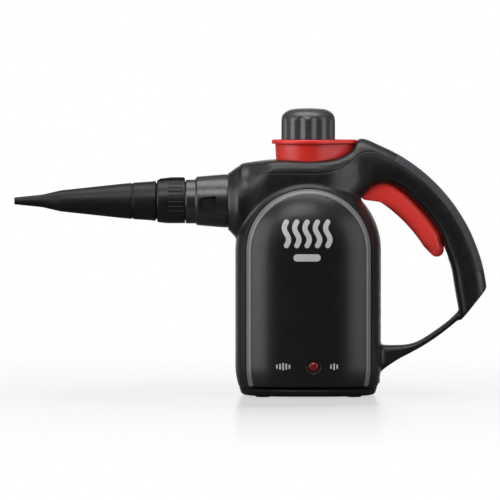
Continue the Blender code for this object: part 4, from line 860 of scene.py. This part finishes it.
def stroke(name, path, width):
    """A printed stroke with round ends that lies on the left panel's face."""
    centre = [Vector(p) for p in path]
    left, right = [], []
    for i, point in enumerate(centre):
        along = (centre[min(i + 1, len(centre) - 1)] - centre[max(i - 1, 0)]).normalized()
        normal = Vector((-along.y, along.x)) * width / 2
        left.append(point + normal)
        right.append(point - normal)
    caps = []
    for end, first in ((centre[-1], left[-1]), (centre[0], right[0])):
        start = math.degrees(math.atan2(first.y - end.y, first.x - end.x))
        caps.append([Vector(polar(end, width / 2, start - 180 * k / 8)) for k in range(1, 8)])
    outline = left + caps[0] + right[::-1] + caps[1]
    bm = bmesh.new()
    rows = []
    for lift in (-PRINT_RISE, 0.4):
        rows.append([vertex(bm, (p.x, panel_y(p.x, p.y) + lift, p.y)) for p in outline])
    count = len(left)
    size = len(outline)
    for i in range(size):
        j = (i + 1) % size
        bm.faces.new((rows[0][i], rows[0][j], rows[1][j], rows[1][i]))
    for row in rows:
        for i in range(count - 1):
            bm.faces.new((row[i], row[i + 1], row[size - 8 - i - 1], row[size - 8 - i]))
        bm.faces.new(row[count - 1:count + 8])
        bm.faces.new([row[0]] + row[size - 8:])
    return object_from(bm, name)


def gather(name, objects):
    """Several meshes as one object."""
    bm = bmesh.new()
    for obj in objects:
        bm.from_mesh(obj.data)
        bpy.data.objects.remove(obj, do_unlink=True)
    return object_from(bm, name)


def make_marks():
    symbol = []
    for x in (SYMBOL_X + 8.6 * k for k in range(-2, 3)):
        path = [(x + 1.8 * math.sin(math.pi * k / 16), 127.6 + 0.6125 * k) for k in range(33)]
        symbol.append(stroke("wave", path, 4.3))
    symbol.append(stroke("ground", [(SYMBOL_X + 2.8 * k, 117.4) for k in range(-3, 4)], 6))
    ticks = []
    for left, lengths in ((-26.5, (2.4, 3.8, 5, 3.8, 2.4)), (18.5, (2.6, 4.4, 2.6))):
        for i, length in enumerate(lengths):
            path = [(left + 2.6 * i, LENS_Z + length * k / 4) for k in range(-2, 3)]
            ticks.append(stroke("tick", path, 1.3))
    for name, strokes in (("steam_symbol", symbol), ("indicator_ticks", ticks)):
        piece(gather(name, strokes), name, "", "gloss_plastic", 30, ["pale_print"])


def make_lens():
    front = PANEL_DROP - BODY_DEPTH
    back = 4.2 - BODY_DEPTH
    flange = LENS_RADIUS + 1.8
    profile = [
        (0.15, front), (1.6, front + 0.12), (2.9, front + 0.5), (3.8, front + 1.1),
        (LENS_RADIUS, front + 1.9), (LENS_RADIUS, back), (flange, back), (flange, back + 1.5),
    ]
    lens = turned("lens", profile, "Y", (LENS_X, LENS_Z), 48)
    piece(lens, "indicator_lens", "_dome", "lens_red")


# Base, feet and cord entry

def plan_ring(z, inset):
    """The body's outline seen from above."""
    steps = 128
    less = base_inset(z) + inset
    plan = [oval_point(2 * math.pi * i / steps, BULGE_POWER) for i in range(steps)]
    return [((BODY_RADIUS - less) * x, (BODY_DEPTH - less) * y, z) for x, y in plan]


def corners(x, y):
    return [(sx * x, sy * y) for sx in SIDES for sy in SIDES]


def make_base():
    top = HOUSING_BASE_Z - SEAM
    profile = [(BASE_FLOOR_Z, 2), (BASE_FLOOR_Z + 0.2, 1), (BASE_FLOOR_Z + 0.8, 0.25)]
    profile += [(BASE_FLOOR_Z + 1.6, 0), (top - 0.4, 0), (top, 0.35)]
    tray = ring_solid("tray", [plan_ring(z, inset) for z, inset in profile])
    floor = BASE_FLOOR_Z + 2.4
    cut(tray, ring_solid("tray_hollow", [plan_ring(floor, 5.5), plan_ring(top + 2, 5)]))
    for x, y in corners(30, 24):
        join(tray, rod("post", 4, floor - OVERLAP, POST_TOP_Z, "Z", (x, y), 24))
        cut(tray, rod("post_hole", 1.8, POST_TOP_Z - 12, POST_TOP_Z + 1.3, "Z", (x, y), 16))
    for x, y in corners(FOOT_X, FOOT_Y):
        cut(tray, rod("foot_recess", FOOT_RADIUS + SEAM, 0, BASE_FLOOR_Z + OVERLAP, "Z", (x, y)))
    for i in range(9):
        y = (i - 4) * 4.5
        cut(tray, block("vent", (-17, y - 0.8, 0), (17, y + 0.8, BASE_FLOOR_Z + 0.9)))
    piece(tray, "base_cover", "_tray", "dark_plastic", 32)


def make_feet():
    foot_top = BASE_FLOOR_Z + OVERLAP - SEAM
    profile = [(2.4, 0.5), (2.7, 0), (5.4, 0), (6.1, 0.25)]
    profile += [(FOOT_RADIUS, 0.9), (FOOT_RADIUS, foot_top)]
    for i, place in enumerate(corners(FOOT_X, FOOT_Y), 1):
        piece(turned("foot", profile, "Z", place, 48), f"rubber_foot_{i}", "_pad", "rubber")


def make_gland():
    outside = BODY_RADIUS - base_inset(GLAND_Z)
    inner_end = node_box("cord_gland")[0].x
    flange = GLAND_RADIUS + 1.5
    profile = [
        (GLAND_BORE, outside - 0.6), (GLAND_BORE + 0.6, outside), (GLAND_RADIUS - 0.3, outside),
        (GLAND_RADIUS, outside - 0.3), (GLAND_RADIUS, outside - 5.9), (flange, outside - 5.9),
        (flange, outside - 7.6), (GLAND_RADIUS - 1, inner_end), (GLAND_BORE, inner_end),
    ]
    gland = turned("gland", profile, "X", (0, GLAND_Z), 48, loop=True)
    piece(gland, "cord_gland", "_bush", "rubber")


def make_screws():
    for name in ("handle", "front", "rear", "top"):
        node = "housing_screw_" + name
        low, high = node_box(node)
        centre = ((low.x + high.x) / 2, (low.z + high.z) / 2)
        face = high.y
        under = face - 2.2
        profile = [
            (0.5, low.y), (1.5, low.y + 1.5), (1.5, under), (3, under), (3, face - 1.5),
            (2.6, face - 0.7), (1.8, face - 0.15), (0.3, face),
        ]
        screw = turned("screw", profile, "Y", centre, 32)
        for turn in (20, 110):
            rings = []
            for depth, reach in ((face + OVERLAP, 2.1), (face - 1.3, 1.1)):
                lean = math.degrees(math.atan2(0.42, reach))
                ways = (lean, 180 - lean, 180 + lean, -lean)
                ends = [polar(centre, math.hypot(0.42, reach), turn + way) for way in ways]
                rings.append([(x, depth, z) for x, z in ends])
            cut(screw, ring_solid("cross", rings))
        piece(screw, node, "_head", "steel", 30)


# Filler and cap

def make_filler_collar():
    low = HOUSING_TOP_Z + SEAM
    flange_low = FILLER_TOP_Z - FLANGE_THICK
    rings = []
    for k in range(9):
        share = k / 8
        outline = teardrop(-FLANGE_LIP - BARREL_TAPER * (1 - share) ** 1.6, BARREL_REACH)
        height = low + (flange_low + OVERLAP - low) * share
        rings.append([(x, y, height) for x, y in outline])
    barrel = ring_solid("barrel", rings)
    rings = []
    for k in range(7):
        angle = math.pi / 2 * k / 6
        grow = 1.4 * (1 - math.cos(angle))
        height = flange_low - 1.3 + 1.8 * math.sin(angle)
        rings.append([(x, y, height) for x, y in teardrop(grow - FLANGE_LIP, BARREL_REACH - grow)])
    join(
        barrel,
        ring_solid("swell", rings),
        soft_prism("rim", teardrop(), flange_low, FILLER_TOP_Z, 1, 1.3, "Z"),
        rod("foot", COLLAR_FOOT_RADIUS, 188, low + OVERLAP),
    )
    bore = [
        (FILLER_BORE, 197.4), (FILLER_BORE, FILLER_TOP_Z - 1), (FILLER_BORE + 0.4, FILLER_TOP_Z - 0.3),
        (FILLER_BORE + 1.2, FILLER_TOP_Z + OVERLAP),
    ]
    neck_hole = rod("neck_hole", NECK_RADIUS + SEAM, 180, 210, steps=64)
    cut(barrel, turned("bore", bore, steps=128), neck_hole)
    piece(barrel, "filler_collar", "_red", "red_plastic", 35)


def make_knob():
    skirt = node_box("cap_knob")[0].z

    def flute(radius, height, turn):
        """The flutes are deepest at the skirt and run out below the crown."""
        rise = min(1, max(0, (KNOB_TOP_Z - 4.5 - height) / 7))
        if radius < KNOB_RADIUS - 0.9 and height > skirt + 6 or radius < 12:
            return radius
        wave = 0.5 + 0.5 * math.cos(math.radians(FLUTES * turn))
        return radius - 1.4 * rise**0.6 * wave**1.6

    profile = [
        (KNOB_RADIUS - 0.8, skirt), (KNOB_RADIUS - 0.2, skirt + 0.7), (KNOB_RADIUS, skirt + 1.6),
    ]
    bend = KNOB_TOP_Z - 11
    side = skirt + 2.5
    profile += [(KNOB_RADIUS, side + (bend - side) * k / 11) for k in range(12)]
    crown = 10.5
    for k in range(1, 17):
        angle = math.pi / 2 * k / 16
        radius = crown + (KNOB_RADIUS - crown) * math.cos(angle)
        profile.append((radius, bend + 10.4 * math.sin(angle)))
    profile += [(7, KNOB_TOP_Z - 0.25), (3.5, KNOB_TOP_Z - 0.06), (0.5, KNOB_TOP_Z)]
    knob = turned("knob", profile, steps=240, radius_at=flute)
    hollow = [(KNOB_BORE, skirt - OVERLAP), (KNOB_BORE, SHOULDER_Z - 1), (KNOB_BORE - 1, SHOULDER_Z)]
    hub_hole = rod("hub_hole", 8.7, SHOULDER_Z - OVERLAP, 234)
    cut(knob, turned("hollow", hollow), hub_hole, rod("head_space", 10.6, 232.7, KNOB_TOP_Z - 2.4))
    low, high = DOG_RING_Z
    dog_ring = [(15.6, low), (KNOB_BORE + 0.3, low), (KNOB_BORE + 0.3, high), (15.6, high)]
    join(knob, turned("dog_ring", fillet(dog_ring, 0.3), steps=64, loop=True))
    for i in range(6):
        place = polar(ORIGIN, 17.2, 60 * i + 30)
        join(knob, rod("dog", 1.8, low - 2, low + OVERLAP, "Z", place, 20))
    # the knob wears a lighter grey than its dark plastic, as painted light
    piece(knob, "cap_knob", "_fluted", "dark_plastic", 40, ["cap_plastic_painted_light"], "cap_knob")


def make_springs():
    """The three springs in round wire."""
    steps, sides = 40, 12
    bottom, top = 0, 1
    springs = [
        ("valve_spring", "body", "valve_stroke", 0.55, 4, bottom),
        ("cap_spring", "cap_plug", "cap_press", 0.8, 4, bottom),
        ("relief_spring", "cap_plug", "relief_lift", 0.45, 5, top),
    ]
    for node, body, joint, wire, turns, held in springs:
        low, high = node_box(node)
        centre = (low + high) / 2
        radius = (high.x - low.x) / 2 - wire
        height = high.z - low.z
        rings = []
        for i in range(turns * steps + 1):
            angle = 2 * math.pi * i / steps
            outward = Vector((math.cos(angle), math.sin(angle), 0))
            rise = low.z + wire + (height - 2 * wire) * i / (turns * steps)
            middle = Vector((centre.x, centre.y, rise)) + outward * radius
            rings.append(wire_ring(middle, outward, Vector((0, 0, 1)), wire, sides))
        spring = ring_solid(node + "_form", rings)
        piece(spring, node, "_wire", "spring_steel", 40, body=body)
        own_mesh(spring)


# Spout, nozzle and lock ring

def spout_ring(name, profile, corner, steps=3):
    """A ring about the spout's axis, with its corners rounded."""
    return turned(name, fillet(profile, corner, steps), "X", (0, SPOUT_Z), 128, loop=True)


def make_spout_collar():
    front = COLLAR_FRONT_X
    lip = front - 0.3
    rear = FLARE_X - 0.08
    bore, root = SPIGOT_RADIUS + SEAM, FLARE_RADIUS - 1.3
    profile = [
        (bore, lip), (16.4, lip), (16.4, front), (18.4, front), (19, front + 0.8),
        (19, front + 8.4), (root - 1.9, front + 9.6), (root - 1, front + 20), (root, FLARE_X - 3.4),
        (root, rear), (SPOUT_BORE - SEAM, rear), (SPOUT_BORE - SEAM, FLARE_X + 6), (bore, FLARE_X + 6),
    ]
    collar = spout_ring("collar", profile, 0.4)
    cut(collar, block("notch", (front - OVERLAP, -7, SPOUT_Z + 16.4), (front + 8, 7, 200)))
    recess = [(11.5, -10), (25, -11.5), (26.5, 5), (11.5, 3)]
    recess = [(front + x, SPOUT_Z + z) for x, z in recess]
    recess = even_outline(fillet(recess, 3, 6), 0.8, 3)
    for side in SIDES:
        cut(collar, side_prism("thumb_recess", recess, side, 18.6, 30))
    # the collar wears a lighter black than the dark plastic, as painted light
    piece(collar, "spout_collar", "_ring", "dark_plastic", 32, ["collar_plastic_painted_light"])


def make_nozzle():
    step, bore = LOCK_FRONT_X - 1, SPIGOT_RADIUS + RUN_GAP
    profile = [
        (2, NOZZLE_TIP_X), (2.9, NOZZLE_TIP_X), (3.8, -238.5), (5.1, -225.5), (5.7, -221.8),
        (8.3, -210.8), (9, -207.5), (10.7, -191.5), (14.35, -157.9), (15.2, -148.6), (14.7, -148.2),
        (14.7, -147.2), (15.4, -146.8), (16.4, step - 4), (16.9, step), (NOZZLE_REAR_RADIUS, step),
        (NOZZLE_REAR_RADIUS, NOZZLE_REAR_X), (bore, NOZZLE_REAR_X), (bore, SPIGOT_FRONT_X - 1.5),
        (5, SPIGOT_FRONT_X - 8), (2, -205),
    ]
    cone = spout_ring("cone", profile, 1, 4)
    piece(cone, "nozzle_cone", "_body", "dark_plastic", 32, ["nozzle_plastic"], "nozzle")


def make_lock_ring():
    front = LOCK_FRONT_X
    rear = COLLAR_FRONT_X - RUN_GAP
    inner = NOZZLE_REAR_RADIUS + RUN_GAP
    profile = [
        (inner, front), (17.4, front), (18, front + 1), (LOCK_RADIUS, front + 8.5),
        (LOCK_RADIUS, rear), (inner, rear),
    ]
    ring = spout_ring("ring", profile, 0.5)
    tab = [
        (front + 1, 16.6), (front + 2, 18.7), (front + 12, 19.9), (rear - 0.8, 19.9),
        (rear - 0.2, 19), (rear - 0.2, 16.6),
    ]
    tab = even_outline([(x, SPOUT_Z + z) for x, z in tab], 0.6, 1)
    join(ring, soft_prism("tab", tab, -6, 6, 0.5, 0.5))
    for i in range(26):
        place = polar((0, SPOUT_Z), LOCK_RADIUS + 0.35, 118 + 304 * i / 25)
        cut(ring, rod("rib_groove", 0.85, front + 9.5, rear - 1.5, "X", place, 12))
    piece(ring, "lock_ring", "_ribbed", "dark_plastic", 35, body="lock_ring")


# Trigger

def trigger_outline():
    outline = [(44.6, 166.2), (47, 164.4), (53, 163.6)]
    outline += arc_points(FINGER_CENTRE, FINGER_RADIUS, 56.3, 32.5, 24)
    outline += arc_points(TRIGGER_TIP, 6, 222, 368, 16)
    outline += arc_points(HANDLE_CENTRE, TRIGGER_REACH + 5.7, 29.5, 52, 20)
    outline += [(73.5, 180.3), (64, 184.4)]
    outline += arc_points(PIVOT, 5.5, 65, 150, 8)
    outline += [(40, 180.5), (22, 178.8), (20.2, 176.2)]
    return outline + [(22.5, 172.3), (27.5, 172.3), (33, 174.1), (43, 173.5)]


def finger_form(name):
    """A round bar along the trigger, square at its root, that gives the sides their swell."""
    half = TRIGGER_HALF_WIDTH
    rows = [
        (40, 163, 40, 190, half + 0.3, 8),
        (48, 161.5, 50, 190, half + 0.2, 6),
        (56, 161, 60, 188, half, 4),
    ]
    for angle, power in ((53, 2.7), (49, 2.3), (45, 2.1), (41, 2.1), (37, 2.1), (33.5, 2.1)):
        finger = polar(FINGER_CENTRE, FINGER_RADIUS - 1.2, angle)
        turn = math.degrees(math.atan2(finger[1] - HANDLE_CENTRE[1], finger[0] - HANDLE_CENTRE[0]))
        rows.append((*finger, *polar(HANDLE_CENTRE, TRIGGER_REACH + 2.2, turn), half, power))
    for angle, share in ((26.6, 0.9), (24.2, 0.74), (22.6, 0.5), (21.7, 0.22)):
        near = polar(HANDLE_CENTRE, 110.5, angle)
        rows.append((*near, *polar(HANDLE_CENTRE, 125.5, angle), half * share, 2.1))
    return ring_solid(name, [section(r[:2], r[2:4], *r[4:]) for r in interpolate(rows, 4)])


def make_trigger():
    outline = even_outline(trigger_outline(), 1.1, 1)
    half = TRIGGER_HALF_WIDTH
    trigger = soft_prism("trigger_body", outline, -half, half, 1, 1)
    beyond = 12
    root = block("root", (10, -beyond, 150), (46, beyond, 205))
    keep_inside(trigger, join(root, finger_form("finger")))
    arm = [(10, 160), (42.5, 160), (45.5, 174), (45.5, 200), (10, 200)]
    sides = [side_prism("arm_side", arm, side, 4.5, beyond) for side in SIDES]
    cut(trigger, *sides, rod("pin_bore", 2.08, -beyond, beyond, "Y", PIVOT))
    # the trigger wears a lighter red than the collar, as painted light
    piece(trigger, "trigger", "_red", "red_plastic", 40, ["trigger_red_painted_light"], "trigger")


make_housing()
make_grip()
make_panel("side_panel_left", -1)
make_panel("side_panel_right", 1)
make_lens()
make_marks()
make_base()
make_feet()
make_gland()
make_screws()
make_filler_collar()
make_knob()
make_spout_collar()
make_nozzle()
make_lock_ring()
make_springs()
make_trigger()


# Floor, world, light and camera

def make_floor():
    """A pale glossy disc that fades into the white of the backdrop."""
    rings = [(radius, 0) for radius in (1, 250, 500, 1000, 2000, 4000)]
    floor = turned("floor", rings, steps=64, caps=1)
    tree, shader = new_material("floor_white")
    feed(shader, Base_Color=grey(0.25), Roughness=0.2, Specular_IOR_Level=0.5)
    spread = add_node(tree, "VectorMath", Vector=object_place(tree))
    spread.operation = "LENGTH"
    ease = add_node(tree, "MapRange", Value=spread.outputs["Value"], From_Min=0.16, From_Max=0.7)
    fade = maths(tree, "POWER", ease.outputs["Result"], 0.5)
    seen = add_node(tree, "LightPath").outputs["Is Camera Ray"]
    glow = add_node(tree, "Emission", Color=grey(1), Strength=maths(tree, "MULTIPLY", seen, 1.15))
    clear = add_node(tree, "BsdfTransparent")
    surface = shader.outputs["BSDF"]
    for share, other in ((0.5, glow.outputs["Emission"]), (fade, clear.outputs["BSDF"])):
        mix = add_node(tree, "MixShader", Fac=share)
        plug(mix.inputs[1], surface)
        plug(mix.inputs[2], other)
        surface = mix.outputs["Shader"]
    feed(tree.nodes["Material Output"], Surface=surface)
    floor.data.materials.append(MATERIALS["floor_white"])


# Which way of a direction counts, where its light starts and is full, and how strong it is
WORLD_LIGHT = (
    ("X", -0.5, -1, 0.35),
    ("X", 0.5, 1, 0.25),
    ("Y", 0.85, 0.97, 1),
    ("Z", 0.4, 1, 0.5),
)


def make_world():
    """White to the camera; to the object dark in front, white behind and soft light at the sides."""
    world = bpy.data.worlds.new("studio")
    bpy.context.scene.world = world
    world.use_nodes = True
    tree = world.node_tree
    way = add_node(tree, "SeparateXYZ", Vector=add_node(tree, "TexCoord").outputs["Generated"])
    total = 0
    for axis, start, end, strength in WORLD_LIGHT:
        limits = {"From_Min": start, "From_Max": end, "To_Max": strength}
        term = add_node(tree, "MapRange", Value=way.outputs[axis], **limits)
        term.interpolation_type = "SMOOTHSTEP"
        total = maths(tree, "ADD", term.outputs["Result"], total)
    path = add_node(tree, "LightPath").outputs
    seen = maths(tree, "MAXIMUM", path["Is Camera Ray"], path["Is Transmission Ray"])
    light = add_node(tree, "Mix", Factor=seen, A=total, B=1).outputs["Result"]
    feed(tree.nodes["Background"], Color=grey(1), Strength=light)


# Each lamp's place, power in watts, width and height
LAMPS = {
    "key_left": ((-1.15, -0.62, 0.35), 11, 1.1, 1.2),
    "fill_right": ((1.2, -0.66, 0.35), 7.2, 1.1, 1.2),
    "top": ((0, -0.1, 1.3), 8.3, 1.3, 0.7),
    "front_top": ((-0.3, -1.5, 1.5), 14, 1.2, 0.8),
}
LAMP_AIM = Vector((0.03, 0, 0.12))


def aimed(obj, place, aim):
    obj.location = place
    obj.rotation_euler = (aim - Vector(place)).to_track_quat("-Z", "Y").to_euler()
    bpy.context.collection.objects.link(obj)
    return obj


def make_lamps():
    for name, (place, power, width, height) in LAMPS.items():
        light = bpy.data.lights.new(name, "AREA")
        light.energy = power
        light.shape = "RECTANGLE"
        light.size = width
        light.size_y = height
        aimed(bpy.data.objects.new(name, light), place, LAMP_AIM)


CAMERA_AIM = Vector((-0.0005, 0, 0.1221))
CAMERA_DISTANCE = 5
CAMERA_ELEVATION = math.radians(2)
VIEW_WIDTH = 0.4205
SENSOR_WIDTH = 36


def make_camera():
    camera = bpy.data.cameras.new("camera")
    camera.sensor_width = SENSOR_WIDTH
    camera.lens = SENSOR_WIDTH * CAMERA_DISTANCE / VIEW_WIDTH
    camera.clip_end = 50
    way = Vector((0, -math.cos(CAMERA_ELEVATION), math.sin(CAMERA_ELEVATION)))
    place = CAMERA_AIM + way * CAMERA_DISTANCE
    bpy.context.scene.camera = aimed(bpy.data.objects.new("camera", camera), place, CAMERA_AIM)


make_floor()
make_world()
make_lamps()
make_camera()
bpy.context.scene.view_settings.view_transform = "Standard"
